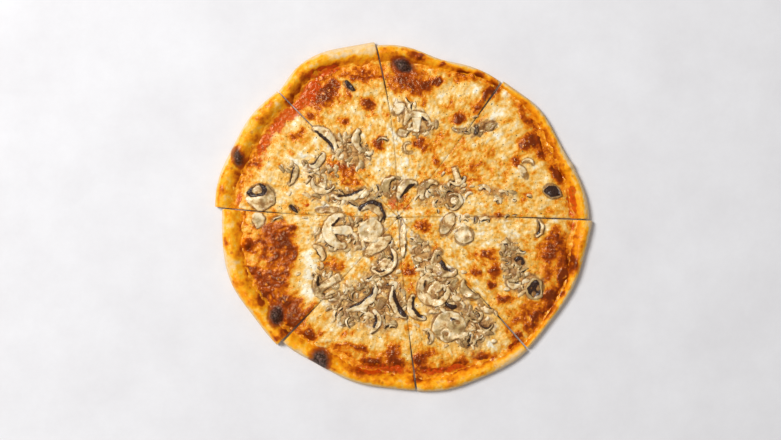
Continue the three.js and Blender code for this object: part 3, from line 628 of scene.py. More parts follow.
def put(name, mesh, material, slot, *nodes):
    """Makes a piece of the pizza that stands for the given solids."""
    mesh.name = name
    mesh.materials.append(material)
    mesh.shade_smooth()
    mesh.set_sharp_from_angle(angle=math.radians(SHARP))
    piece = bpy.data.objects.new(name, mesh)
    bpy.context.scene.collection.objects.link(piece)
    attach(piece, "root")
    if nodes:
        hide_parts(*nodes)
    return piece


def run(v, *stops):
    """Distances that go straight from stop to stop; a stop is a row and a distance."""
    distance = stops[0][1] + 0 * v
    for (row, near), (next_row, far) in zip(stops, stops[1:]):
        distance = np.where(v >= row, near + (far - near) * (v - row) / (next_row - row), distance)
    return distance


def closed(k, t, radius, left):
    """Shares along the rim, moved near the cuts so that gaps of only some width are left."""
    start, end = sides(k, radius)
    length = (end - start) * radius
    for cut, beside, sign in ((CUTS[k], t, -1), (CUTS[(k + 1) % len(CUTS)], 1 - t, 1)):
        gap = TIP_GAP + (cut[1] - TIP_GAP) * (radius / REACH) ** 2
        t = t + sign * np.maximum(gap - left, 0) / 2 * np.exp(-beside * length / 1.5) / length
    return t


def cut_distance(k, t, radius):
    """How far a point is from the nearest side of its slice."""
    start, end = sides(k, radius)
    return np.minimum(t, 1 - t) * (end - start) * radius


def risen(x, y, height, sunk):
    """A height that the oven's bubbles push up from below, smoothly; they stay some way under it."""
    for angle, out, radius, top in BUBBLES:
        cx, cy = out * math.cos(math.radians(angle)), out * math.sin(math.radians(angle))
        far = np.minimum(np.hypot(x - cx, y - cy) / (1.45 * radius), 1)
        hill = BASE - 2 + (top - BASE + 2) * (1 + np.cos(math.pi * far)) / 2 - sunk
        height = np.where(far < 1, (height + hill + np.hypot(height - hill, 1.2)) / 2 - 0.1, height)
    return height


def make_crust(k, settings, material):
    """The dough of slice k, with its rim and its bubbles."""
    mesh = block(COLUMNS, rows=120, walls=4)
    t, v, up = points_of(mesh)
    rim = along(RIM, k, t)
    reach = edge_radius(k, t) - TIP
    on_top = 0.45  # the share of the rows that lie on the rim, closest together at its edge
    eased = np.where(v < on_top, on_top * (v / on_top) ** 1.7, v)
    inward = run(eased, (0, 0 * t), (on_top, RIM_END * rim), (0.75, cheese_edge(k, t) + 10), (1, reach))
    x, y = place(k, closed(k, t, edge_radius(k, t) - inward, WIDEST_GAP), inward)
    tones = bake(x, y)
    on_rim = 1 - smoothstep(0.9, 1.5, inward / rim)
    broad = noise_at(x, y, 11, 1.5)
    middling = noise_at(x, y, 4.5, 2.5)
    fine = noise_at(x, y, 1.8, 4.5)
    relief = settings.relief / MM * (1.3 * broad + 0.8 * middling + 0.3 * fine)
    high = dough_top(k, t, inward) + relief * on_rim * smoothstep(0, 2.5, inward)
    high = risen(x, y, high, sunk=0) + 0.6 * middling * smoothstep(0.2, 0.8, tones["char"])
    edge_of_cut = cut_distance(k, t, edge_radius(k, t) - inward)
    high -= 0.8 * np.exp(-edge_of_cut / 0.8)
    low = dough_bottom(inward)
    side = (up > 0.01) & (up < 0.99)
    bulge = np.where(side & (v < 1e-6), 0.55 * np.sin(math.pi * up), 0)
    pores = np.where(side & (v > 1e-6), 0.35 * noise_at(x + y, up * 5 + y - x, 1.6, 6.5), 0)
    middle = SPANS[k].sum() / 2
    push_x = bulge * x / np.hypot(x, y) - pores * math.cos(middle) * (1 - v)
    push_y = bulge * y / np.hypot(x, y) - pores * math.sin(middle) * (1 - v)
    z = low + (high - low) * up + np.where(up < 0.01, 0.1 + 0.1 * noise_at(x, y, 3, 7.5), 0)
    set_points(mesh, x + push_x, y + push_y, np.maximum(z, 0))
    lip = 1 - smoothstep(0.2, 3.4 + 2 * broad, inward)
    inner_slope = smoothstep(0.45, 1.1, inward / rim)
    heat = 0.42 + 0.12 * inner_slope + 0.42 * tones["toast"] + 0.08 * tones["gold"]
    heat += 0.17 * middling + 0.14 * broad - 0.42 * tones["flour"] * (1 - inner_slope) - 0.32 * lip
    set_values(mesh, {
        "baking": heat,
        "tomato": tones["tomato"],
        "char": tones["char"],
        "crumb": side & (v > 1e-6),
        "under": up < 0.3,
    })
    put(f"baked_crust_{k + 1}", mesh, material, "crust", f"slice_{k + 1}_crust")


def sauce_spread(k, t, inward, x, y):
    """From 0 outside the sauce's ragged edge to 1 where it is thick, and how far in from that edge."""
    ragged = 0.98 + 0.2 * noise_at(x, y, 9, 11.5) + 0.1 * noise_at(x, y, 3, 12.5)
    within = inward - along(RIM, k, t) * ragged
    return smoothstep(-1.2, 1.5 + 0.4 * along(BAND, k, t), within), within


def make_sauce(k, settings, material):
    """The tomato sauce of slice k, which laps onto the rim and runs under the cheese."""
    mesh = block(COLUMNS, rows=80, walls=2)
    t, v, up = points_of(mesh)
    rim = along(RIM, k, t)
    inward = run(v, (0, 0.82 * rim), (0.7, cheese_edge(k, t) + 9), (1, edge_radius(k, t) - TIP))
    x, y = place(k, closed(k, t, edge_radius(k, t) - inward, WIDEST_GAP), inward)
    tones = bake(x, y)
    wander = noise_at(x, y, 9, 11.5)
    spread, within = sauce_spread(k, t, inward, x, y)
    relief = settings.relief / MM * (noise_at(x, y, 3.2, 13.5) + 0.5 * noise_at(x, y, 1.5, 14.5))
    high = dough_top(k, t, inward) - SAUCE_SUNK + (SAUCE_SUNK + CLEARANCE + SAUCE + relief) * spread
    high = risen(x, y, high, sunk=0.7)
    high -= 0.6 * np.exp(-cut_distance(k, t, edge_radius(k, t) - inward) / 0.8)
    low = dough_top(k, t, inward) - 1.2
    set_points(mesh, x, y, low + (high - low) * up)
    set_values(mesh, {
        "baking": 0.5 + 0.3 * tones["toast"] + 0.12 * wander + 0.3 * relief - 0.2 * tones["flour"],
        "tomato": tones["tomato"] + 0.15,
        "char": tones["char"],
        "thin": 1 - smoothstep(0, 5, within),
    })
    put(f"tomato_sauce_{k + 1}", mesh, material, "sauce", f"slice_{k + 1}_sauce")


def cheese_surface(k, t, inward, x, y, tones, settings):
    """The height of the melted cheese and of the sauce under it, how far each point stands up from its
    neighbours, and the folds between small bits of mushroom."""
    border = cheese_edge(k, t) - 2.5 + 5 * noise_at(x, y, 13, 21.5) + 2.6 * noise_at(x, y, 4, 22.5)
    melt = np.clip((inward - border + 1) / (CHEESE_TAPER + 3), 0, 1)
    rise = melt * (2 - melt)
    curds = 0.55 - cells_at(x, y, settings.curd / MM, 23.5)
    fine = noise_at(x, y, 2, 24.5)
    broad = noise_at(x, y, 7, 25.5)
    grain = settings.relief / MM * (curds + 0.4 * fine + 1.3 * broad) * (1 - 0.4 * tones["cream"])
    folds = np.exp(-((noise_at(x, y, 4.5, 28.5) / 0.1) ** 2))
    grain = grain + tones["mash"] * (1.3 * noise_at(x, y, 5, 29.5) - 0.8 * folds)
    swell = 0.7 * smoothstep(0.3, 0.9, tones["toast"]) + 0.9 * smoothstep(0.4, 1, tones["char"])
    spread = sauce_spread(k, t, inward, x, y)[0]
    sauce = sauce_top(k, t, inward) - (SAUCE_SUNK + CLEARANCE + SAUCE) * (1 - spread)
    sunk = 0.5  # how deep in the sauce the cheese's thin edge lies
    top = sauce - sunk + (sunk + CLEARANCE + CHEESE + lumps(x, y) + swell) * rise
    top = risen(x, y, top, sunk)
    return top + grain * np.minimum(rise * 3, 1), sauce, grain, folds * tones["mash"]


def make_cheese(k, settings, material):
    """The melted cheese of slice k, which nearly closes the cuts where they are narrow."""
    mesh = block(columns=160, rows=288, walls=3)
    t, v, up = points_of(mesh)
    start_row = np.maximum(cheese_edge(k, t) - 9, 0.7 * along(RIM, k, t))
    inward = run(v, (0, start_row), (1, edge_radius(k, t) - TIP))
    radius = edge_radius(k, t) - inward
    edge_of_cut = cut_distance(k, t, radius)
    wider_at_rim = 1.6 * smoothstep(90, 150, radius)
    t = closed(k, t, radius, settings.gap / MM + wider_at_rim)
    x, y = place(k, t, inward)
    tones = bake(x, y)
    high, sauce, grain, folds = cheese_surface(k, t, inward, x, y, tones, settings)
    high -= 0.5 * np.exp(-edge_of_cut / 0.6)
    low = np.minimum(sauce - 0.9, high - 0.3)
    side = (up > 0.01) & (up < 0.99)
    drip = np.where(side, 0.2 * noise_at(x + y, up * 3, 2, 26.5), 0)
    middle = SPANS[k].sum() / 2
    z = low + (high - low) * up
    set_points(mesh, x - drip * math.cos(middle), y - drip * math.sin(middle), z)
    front = 1 - smoothstep(-4, 10, inward - cheese_edge(k, t))
    heat = 0.3 + 0.42 * tones["toast"] + 0.25 * tones["gold"] - 0.15 * tones["cream"] + 0.1 * front
    heat += np.clip(grain, -1, 1) * (0.3 * tones["toast"] - 0.1) + 0.1 * noise_at(x, y, 12, 27.5)
    set_values(mesh, {
        "baking": heat,
        "tomato": tones["tomato"],
        "char": tones["char"],
        # Darker ring round each mushroom: partly its brown juice, partly painted shade where the mushroom
        # meets the cheese.
        "juice_and_shade": np.exp(-np.maximum(from_mushrooms(x, y) - 0.5, 0) / 1.1),
        "mash": tones["mash"],
        "fold_shade": folds,
        # Painted shade on the cheese along the sides of the cuts.
        "cut_shade": np.exp(-edge_of_cut / 0.6),
    })
    put(f"melted_cheese_{k + 1}", mesh, material, "cheese", f"slice_{k + 1}_cheese")


# ---- Mushrooms ----


def add_cap(bm, look, thickness):
    """A slice through a cap: its section, spun round the middle of its arc and thinned to the ends,
    which are round."""
    radius, depth = look["radius"], look["depth"]
    half = math.radians(look["curl"])
    stand = Matrix.Translation((radius - depth / 2, 0, thickness / 2)) @ Matrix.Rotation(math.pi / 2, 4, "X")
    size = Matrix.Diagonal((depth, thickness, 1, 1))
    start = Matrix.Rotation(math.pi / 2 - half, 4, "Z")
    section = bmesh.ops.create_grid(bm, x_segments=2, y_segments=1, size=0.5, matrix=start @ stand @ size)
    faces = list(dict.fromkeys(face for vert in section["verts"] for face in vert.link_faces))
    bmesh.ops.spin(bm, geom=faces, cent=(0, 0, 0), axis=(0, 0, 1), angle=2 * half, steps=30, use_merge=False)
    bmesh.ops.holes_fill(bm, edges=bm.edges, sides=0)
    for vert in bm.verts:
        share = math.atan2(vert.co.x, vert.co.y) / half
        far = math.hypot(vert.co.x, vert.co.y)
        thinned = radius - (radius - far) * (1 - CAP_ENDS * share**2)
        vert.co.x *= thinned / far
        vert.co.y *= thinned / far
    end = depth * (1 - CAP_ENDS) / 2
    for angle in (-half, half):
        middle = ((radius - end) * math.sin(angle), (radius - end) * math.cos(angle), thickness / 2)
        bmesh.ops.create_cone(
            bm, cap_ends=True, segments=20, radius1=end, radius2=end, depth=thickness,
            matrix=Matrix.Translation(middle),
        )


def add_stem(bm, look, thickness):
    """A stem's slice, from inside the cap's arc down to its foot, which is round and a little wider."""
    length, width = look["stem"]
    inner = look["radius"] - look["depth"]
    foot = 0.6 * width
    shaft = length - foot
    middle = Vector((0, inner + 1 - (shaft + 1) / 2, thickness / 2))
    size = Matrix.Diagonal((width, shaft + 1, thickness, 1))
    bmesh.ops.create_cube(bm, size=1, matrix=Matrix.Translation(middle) @ size)
    bmesh.ops.create_cone(
        bm, cap_ends=True, segments=24, radius1=foot, radius2=foot, depth=thickness,
        matrix=Matrix.Translation((0, inner - shaft, thickness / 2)),
    )


def add_disc(bm, look, thickness):
    """A round slice, long along y."""
    radius = look["radius"]
    middle = Matrix.Translation((0, 0, thickness / 2)) @ Matrix.Diagonal((look["flat"], 1, 1, 1))
    bmesh.ops.create_cone(
        bm, cap_ends=True, segments=40, radius1=radius, radius2=radius, depth=thickness, matrix=middle
    )


def remeshed(bm, voxel):
    """One closed skin round everything in a bmesh, smoothed."""
    rough = bpy.data.meshes.new("rough")
    bmesh.ops.recalc_face_normals(bm, faces=bm.faces)
    bm.to_mesh(rough)
    bm.free()
    holder = bpy.data.objects.new("rough", rough)
    bpy.context.scene.collection.objects.link(holder)
    modifier = holder.modifiers.new("skin", "REMESH")
    modifier.mode = "VOXEL"
    modifier.voxel_size = voxel
    graph = bpy.context.evaluated_depsgraph_get()
    mesh = bpy.data.meshes.new_from_object(holder.evaluated_get(graph))
    bpy.data.objects.remove(holder)
    bpy.data.meshes.remove(rough)
    smooth = bmesh.new()
    smooth.from_mesh(mesh)
    for _ in range(2):
        bmesh.ops.smooth_vert(
            smooth, verts=smooth.verts, factor=0.5, use_axis_x=True, use_axis_y=True, use_axis_z=True
        )
    smooth.to_mesh(mesh)
    smooth.free()
    return mesh


def cap_gills(look, x, y):
    """The gills of a cap's slice, along its inner arc, how far along them a point is, and the brown
    stain beside them."""
    half = math.radians(look["curl"])
    angle = np.arctan2(x, y)
    share = np.clip(angle / half, -1, 1)
    far = np.hypot(x, y)
    band = look["depth"] * (1 - CAP_ENDS * share**2)
    along_gills = angle * look["radius"]
    if "outer_gill" in look:
        outer = (look["radius"] - far) / look["outer_gill"]
        return smoothstep(1.3, 0.7, outer), along_gills, np.exp(-outer / 2)
    start, end = look.get("arc", (-1, 1))
    gill = smoothstep(start - 0.15, start + 0.15, share) * (1 - smoothstep(end - 0.15, end + 0.15, share))
    width = np.minimum(0.8 * look.get("gill", 0.1), band * 0.7)
    ragged = far - look["radius"] + band + 0.5 * noise_at(x, y, 1.7, 30.5)
    gill = gill * smoothstep(1.15, 0.75, ragged / width)
    if "stem" in look:
        stem_width = look["stem"][1] / 2
        gill = gill * smoothstep(stem_width - 0.4, stem_width + 0.8, np.abs(x))
        gill = np.where((ragged < -0.5) & (np.abs(x) < stem_width * 1.3), 0, gill)
    stain = np.where(ragged < -0.5, 0.3, np.exp(-np.maximum(ragged, 0) / (0.35 * band)))
    return gill, along_gills, stain


def ring_gills(look, x, y):
    """The gills of a slice that shows them from below, as a ring or a whole round."""
    cx, cy, inner, outer = look["ring"]
    far = np.hypot((x - cx) / look["flat"], y - cy) + 0.7 * noise_at(x, y, 2.5, 30.5)
    gill = smoothstep(inner - 0.6, inner + 0.6, far) * (1 - smoothstep(outer - 0.8, outer + 0.8, far))
    return gill, np.arctan2(x - cx, y - cy) * 7, np.exp(-np.maximum(far - outer, 0) / 3)


def no_gills(look, x, y):
    """A slice without gills."""
    return np.zeros(len(x)), y, np.zeros(len(x))


GILLS = {"cap": cap_gills, "gills": ring_gills, "disc": no_gills}


def mushroom_mesh(look, settings, over, seed):
    """A slice of mushroom that lies some way over the cheese, with its looks on its vertices."""
    thickness = settings.thickness / MM
    bm = bmesh.new()
    if look["kind"] == "cap":
        add_cap(bm, look, thickness)
        if "stem" in look:
            add_stem(bm, look, thickness)
    else:
        add_disc(bm, look, thickness)
    mesh = remeshed(bm, settings.voxel / MM)
    x, y, z = points_of(mesh)
    size = look["radius"]
    inside = np.maximum(-outline(look, x, y), 0)
    gill, ray, stain = GILLS[look["kind"]](look, x, y)
    faint = look.get("faint", 0)
    skin_and_shade = (1 - faint) * (0.5 + 1.1 * noise_at(x + seed, y, 7, 39.5))
    share = z / thickness
    rounding = 1 - np.sqrt(1 - (1 - np.clip(inside / 1.5, 0, 1)) ** 2)
    lip = np.exp(-(((inside - 1.8) / 1.3) ** 2))
    ridges = 0.22 * np.sin(ray * 4.2) + 0.3 * noise_at(x + seed, y, 1.3, 37.5)
    dip = -0.55 * thickness * rounding + 0.2 * lip + gill * (ridges - 0.7)
    dip += 0.75 * noise_at(x + seed, y, 5.5, 31.5) + 0.22 * noise_at(x + seed, y, 2, 32.5)
    for hole_along, hole_across in look.get("holes", []):
        far = np.hypot(x + hole_across, y - hole_along)
        brim = np.exp(-(((far - 0.26 * size) / 0.9) ** 2))
        dip = dip - 1.5 * smoothstep(0.24 * size, 0.12 * size, far) + 0.5 * brim
    z = z + share * dip
    wide = 1.7 if look["kind"] == "cap" else 2.6
    x, y = (
        x + wide * noise_at(x + seed, y, 9, 33.5) + 0.8 * noise_at(x + seed, y, 3.5, 41.5),
        y + wide * noise_at(x + seed, y, 9, 34.5) + 0.8 * noise_at(x + seed, y, 3.5, 42.5),
    )
    tilt = noise.noise_vector((seed * 0.37, 0.5, 35.5))
    lift = 1.6 * (tilt.x * x + tilt.y * y) / size + 2.1 * noise_at(x + seed * 3, y, 9, 36.5) - 0.9 * faint
    if "stem" in look:
        lift = lift - 1.3 * smoothstep(0, look["stem"][0], look["radius"] - look["depth"] - y)
    px, py = turned(x, y, look["turn"] - 90)
    px += look["at"][0]
    py += look["at"][1]
    k, t, inward = locate(px, py)
    melt = smoothstep(0, CHEESE_TAPER, inward - cheese_edge(k, t))
    ground = sauce_top(k, t, inward) + CLEARANCE + CHEESE_EDGE + (CHEESE - CHEESE_EDGE + lumps(px, py)) * melt
    set_points(mesh, px, py, ground + over + z + np.maximum(lift, -2.3))
    dark = look.get("dark", 0)
    gill = np.maximum(gill * look.get("dark", 1), dark * (look["kind"] != "gills"))
    set_values(mesh, {
        "gill": np.maximum(gill, painted(*frayed(px, py), GILL_SPOTS)),
        # Darker near the outline and low on the sides: partly the cooked skin, partly painted shade where the
        # slice meets the cheese.
        "edge": np.maximum(np.exp(-inside / 0.6), 1 - smoothstep(0.3, 0.7, share)) * skin_and_shade,
        "ray": ray,
        "tone": np.clip(look.get("tone", 0) + 0.6 * stain + 0.8 * noise_at(x + seed, y, 7, 38.5), 0, 1),
        "pale": np.full(len(x), noise.noise((seed * 0.7, 0.3, 40.5))),
    })
    return mesh


def joined(meshes):
    """Several meshes as one."""
    bm = bmesh.new()
    for mesh in meshes:
        bm.from_mesh(mesh)
        bpy.data.meshes.remove(mesh)
    whole = bpy.data.meshes.new("joined")
    bm.to_mesh(whole)
    bm.free()
    return whole


def cheese_height_at(x, y, settings):
    """The height of the cheese under points."""
    k, t, inward = locate(x, y)
    return cheese_surface(k, t, inward, x, y, bake(x, y), settings)[0]


def sliver_mesh(spot, length, width, turn, bend, gill, tone):
    """A thin curl of mushroom: a long ball, bent by some degrees and dark along one side."""
    bm = bmesh.new()
    layers = {name: bm.verts.layers.float.new(name) for name in ("gill", "tone", "edge")}
    bmesh.ops.create_uvsphere(bm, u_segments=8, v_segments=7, radius=1)
    radius = length / math.radians(bend)
    for vert in bm.verts:
        side, lift, out = vert.co
        angle = out * length / 2 / radius
        far = radius + side * width / 2
        x = far * math.sin(angle)
        y = far * math.cos(angle) - radius
        rough = noise.noise_vector(((spot[0] + x) / 2.4, (spot[1] + y) / 2.4, lift)) * 0.5
        vert[layers["gill"]] = gill if side < -0.2 else 0.2 * gill
        vert[layers["tone"]] = tone
        # The lower half is darker: painted shade under the curl, as well as its brown skin.
        vert[layers["edge"]] = 0.5 - 0.6 * max(lift, 0)
        up = lift * min(width / 2, 1.2)
        vert.co = Vector((*turned(x, y, turn), up)) + rough
        vert.co = (vert.co + Vector(spot) + Vector((*CROSSING, 0))) * MM
    bmesh.ops.recalc_face_normals(bm, faces=bm.faces)
    mesh = bpy.data.meshes.new("sliver")
    bm.to_mesh(mesh)
    bm.free()
    return mesh


# ---- Materials ----


def paint(code):
    """The linear colour of an sRGB code."""
    parts = [(code >> shift & 255) / 255 for shift in (16, 8, 0)]
    return tuple(p / 12.92 if p <= 0.04045 else ((p + 0.055) / 1.055) ** 2.4 for p in parts)


class Finish:
    """A material under construction: a node tree and short ways to add to it."""

    def __init__(self, name):
        self.material = bpy.data.materials.new(name)
        self.material.use_nodes = True
        self.tree = self.material.node_tree
        self.shader = self.tree.nodes["Principled BSDF"]
        self.place = self.add("ShaderNodeTexCoord").outputs["Object"]

    def add(self, kind, **settings):
        node = self.tree.nodes.new(kind)
        for name, value in settings.items():
            setattr(node, name, value)
        return node

    def feed(self, socket, value):
        if isinstance(value, bpy.types.NodeSocket):
            self.tree.links.new(value, socket)
        elif isinstance(value, Color):
            socket.default_value = (*value, 1)
        else:
            socket.default_value = value

    def value(self, name):
        """A value that the mesh stores on its vertices."""
        return self.add("ShaderNodeAttribute", attribute_name=name).outputs["Fac"]

    def math(self, operation, a, b=0.0):
        node = self.add("ShaderNodeMath", operation=operation)
        self.feed(node.inputs[0], a)
        self.feed(node.inputs[1], b)
        return node.outputs[0]

    def grain(self, size, detail=2.0, roughness=0.5):
        """Noise whose lumps are a size in millimetres across."""
        node = self.add("ShaderNodeTexNoise")
        self.feed(node.inputs["Vector"], self.place)
        self.feed(node.inputs["Scale"], 1 / (size * MM))
        self.feed(node.inputs["Detail"], detail)
        self.feed(node.inputs["Roughness"], roughness)
        return node.outputs["Fac"]

    def cells(self, size):
        """0 in the middle of each of many cells that are a size in millimetres across."""
        node = self.add("ShaderNodeTexVoronoi", feature="F1")
        self.feed(node.inputs["Vector"], self.place)
        self.feed(node.inputs["Scale"], 1 / (size * MM))
        return node.outputs["Distance"]

    def between(self, value, low, high, start=0.0, end=1.0):
        """Goes smoothly from start to end while a value goes from low to high."""
        node = self.add("ShaderNodeMapRange", interpolation_type="SMOOTHSTEP")
        self.feed(node.inputs["Value"], value)
        self.feed(node.inputs["From Min"], low)
        self.feed(node.inputs["From Max"], high)
        self.feed(node.inputs["To Min"], start)
        self.feed(node.inputs["To Max"], end)
        return node.outputs["Result"]

    def blend(self, share, below, above):
        """One colour over another, as far as the share says."""
        node = self.add("ShaderNodeMix", data_type="RGBA", blend_type="MIX")
        self.feed(node.inputs[0], share)
        self.feed(node.inputs[6], below)
        self.feed(node.inputs[7], above)
        return node.outputs[2]

    def ramp(self, value, *stops):
        """A colour for each value: the stops are values and colours."""
        node = self.add("ShaderNodeValToRGB")
        elements = node.color_ramp.elements
        elements.remove(elements[1])
        for i, (position, colour) in enumerate(stops):
            element = elements[0] if i == 0 else elements.new(position)
            element.position = position
            element.color = (*colour, 1)
        self.feed(node.inputs[0], value)
        return node.outputs[0]

    def bumps(self, height, strength, distance, under=None):
        """A surface that a height in millimetres makes rough, over a rough surface or a smooth one."""
        node = self.add("ShaderNodeBump")
        self.feed(node.inputs["Strength"], strength)
        self.feed(node.inputs["Distance"], distance * MM)
        self.feed(node.inputs["Height"], height)
        if under is not None:
            self.feed(node.inputs["Normal"], under)
        return node.outputs["Normal"]

    def done(self, colour, normal, roughness):
        """Gives the surface its looks and returns the material."""
        self.feed(self.shader.inputs["Base Color"], colour)
        self.feed(self.shader.inputs["Normal"], normal)
        self.feed(self.shader.inputs["Roughness"], roughness)
        return self.material


def uneven(finish, size, gain):
    """Noise round 0, whose lumps are a size in millimetres across."""
    grain = finish.grain(size, detail=3, roughness=0.6)
    return finish.math("MULTIPLY", finish.math("SUBTRACT", grain, 0.5), gain)


def browned(finish, oven, fine, broad, *stops):
    """A colour by how hot each place got: the stops, and from orange up those that all layers share."""
    baking = finish.value("baking")
    calm = finish.between(baking, 0.5, 0.95, 1, 0.6)
    heat = finish.math("ADD", baking, finish.math("MULTIPLY", finish.math("ADD", fine, broad), calm))
    return heat, finish.ramp(
        heat,
        *stops,
        (0.6, oven.orange),
        (0.7, oven.toast),
        (0.81, oven.deep),
        (0.95, oven.scorch),
    )


def burnt(finish, colour, oven, fine):
    """Blackens a colour where the mesh says so."""
    black = finish.math("ADD", finish.value("char"), finish.math("MULTIPLY", fine, 0.6))
    ashen = finish.between(finish.grain(1.8, detail=3), 0.4, 0.65)
    soot = finish.blend(ashen, oven.char, oven.ash)
    singed = finish.blend(finish.between(black, 0.12, 0.45, 0, 0.85), colour, oven.deep)
    return finish.blend(finish.between(black, 0.4, 0.95), singed, soot)


def freckled(finish, colour, heat, fine, apart, spot):
    """Adds small browned spots, some millimetres apart, where the baking was hot enough."""
    spots = finish.between(finish.math("ADD", finish.cells(apart), fine), 0.28, 0.08, 0, 0.8)
    return finish.blend(finish.math("MULTIPLY", spots, finish.between(heat, 0.15, 0.4)), colour, spot)


def reddened(finish, colour, oven, low, high):
    """Lets sauce show through where the mesh says so."""
    red = finish.between(finish.math("ADD", finish.value("tomato"), uneven(finish, 3.5, 1.1)), low, high)
    mottled = finish.between(finish.grain(3, detail=3, roughness=0.6), 0.36, 0.5)
    sauce = finish.blend(mottled, oven.deep, oven.red)
    return finish.blend(finish.math("MULTIPLY", red, 0.85), colour, sauce)


OILY = (1, 0.78, 0.45)  # the tint of light mirrored by fat


def glossed(finish, specular, coat, coat_roughness, tint=(1, 1, 1)):
    """Sets how much light a surface mirrors, which is the same all over it."""
    finish.shader.inputs["Specular IOR Level"].default_value = specular
    finish.shader.inputs["Specular Tint"].default_value = (*tint, 1)
    finish.shader.inputs["Coat Weight"].default_value = coat
    finish.shader.inputs["Coat Roughness"].default_value = coat_roughness


def crust_material(dough, oven):
    finish = Finish("baked dough")
    fine = uneven(finish, 3.6, 0.5)
    broad = uneven(finish, 12, 0.75)
    heat, colour = browned(
        finish, oven, fine, broad,
        (0.06, dough.floury), (0.22, dough.pale), (0.36, dough.glaze), (0.48, dough.golden),
    )
    colour = freckled(finish, colour, heat, fine, apart=8, spot=oven.toast)
    colour = burnt(finish, reddened(finish, colour, oven, low=0.35, high=0.75), oven, fine)
    pores = finish.grain(1.1, detail=3)
    crumb = finish.ramp(pores, (0.35, dough.crumb_shade), (0.6, dough.crumb))
    colour = finish.blend(finish.value("crumb"), colour, crumb)
    spots = finish.between(finish.grain(9, detail=5, roughness=0.65), 0.5, 0.64)
    below = finish.blend(spots, dough.pale, dough.scorched)
    colour = finish.blend(finish.value("under"), colour, below)
    pits = finish.bumps(finish.grain(0.9, detail=4), strength=0.3, distance=0.3)
    normal = finish.bumps(finish.grain(2.6, detail=3), strength=0.5, distance=0.8, under=pits)
    glossed(finish, specular=0.3, coat=0.04, coat_roughness=0.1, tint=OILY)
    return finish.done(colour, normal, finish.between(heat, 0.2, 0.7, 0.6, 0.3))


def sauce_material(sauce, oven):
    finish = Finish("tomato sauce")
    fine = uneven(finish, 3.2, 1.1)
    broad = uneven(finish, 10, 0.8)
    heat, colour = browned(finish, oven, fine, broad, (0.24, sauce.oil), (0.46, sauce.glaze))
    colour = reddened(finish, colour, oven, low=0.3, high=0.7)
    thin = finish.math("MULTIPLY", finish.value("thin"), finish.between(finish.grain(4, detail=3), 0.35, 0.6))
    colour = finish.blend(thin, colour, sauce.stain)
    colour = burnt(finish, colour, oven, fine)
    pits = finish.bumps(finish.grain(1.1, detail=4), strength=0.4, distance=0.4)
    normal = finish.bumps(finish.grain(3.2, detail=3), strength=0.6, distance=1.2, under=pits)
    glossed(finish, specular=0.4, coat=0.03, coat_roughness=0.05, tint=OILY)
    return finish.done(colour, normal, finish.between(heat, 0.2, 0.7, 0.42, 0.16))


def cheese_material(cheese, oven):
    finish = Finish("melted cheese")
    fine = uneven(finish, 3.2, 0.55)
    broad = finish.math("ADD", uneven(finish, 13, 0.8), uneven(finish, 6.5, 0.6))
    heat, colour = browned(
        finish, oven, fine, broad,
        (0.04, cheese.white), (0.16, cheese.cream), (0.3, cheese.yellow), (0.46, cheese.gold),
    )
    colour = reddened(finish, colour, oven, low=0.45, high=0.85)
    colour = freckled(finish, colour, heat, fine, apart=6, spot=oven.orange)
    mash = finish.math("ADD", finish.value("mash"), uneven(finish, 4, 0.9))
    soaked = finish.grain(7, detail=4)
    murky = finish.ramp(soaked, (0.36, cheese.juice_and_shade), (0.52, cheese.broth), (0.68, cheese.yellow))
    colour = finish.blend(finish.between(mash, 0.15, 0.6, 0, 0.9), colour, murky)
    # Painted shade mixed with mushroom juice: the cheese darkens in a ring round each mushroom.
    wet_and_shaded = finish.math("ADD", finish.value("juice_and_shade"), uneven(finish, 2.4, 0.9))
    colour = finish.blend(finish.between(wet_and_shaded, 0.3, 1.1, 0, 0.78), colour, cheese.juice_and_shade)
    # Painted shade in the folds between small bits of mushroom.
    fold_shade = finish.between(finish.math("ADD", finish.value("fold_shade"), fine), 0.3, 0.9, 0, 0.5)
    colour = finish.blend(fold_shade, colour, cheese.shadow)
    colour = burnt(finish, colour, oven, fine)
    pepper = finish.between(finish.cells(2.6), 0.2, 0.12)
    sparse = finish.between(finish.grain(5, detail=2), 0.48, 0.58)
    specks = finish.math("MULTIPLY", finish.math("MULTIPLY", pepper, sparse), 0.7)
    colour = finish.blend(specks, colour, cheese.pepper)
    # Painted shade along the cuts.
    colour = finish.blend(finish.math("MULTIPLY", finish.value("cut_shade"), 0.3), colour, cheese.juice_and_shade)
    pits = finish.bumps(finish.grain(0.9, detail=4), strength=0.35, distance=0.35)
    normal = finish.bumps(finish.grain(2.6, detail=4, roughness=0.6), strength=0.7, distance=1.1, under=pits)
    glossed(finish, specular=0.4, coat=0.03, coat_roughness=0.05, tint=OILY)
    return finish.done(colour, normal, finish.between(heat, 0.1, 0.7, 0.42, 0.15))


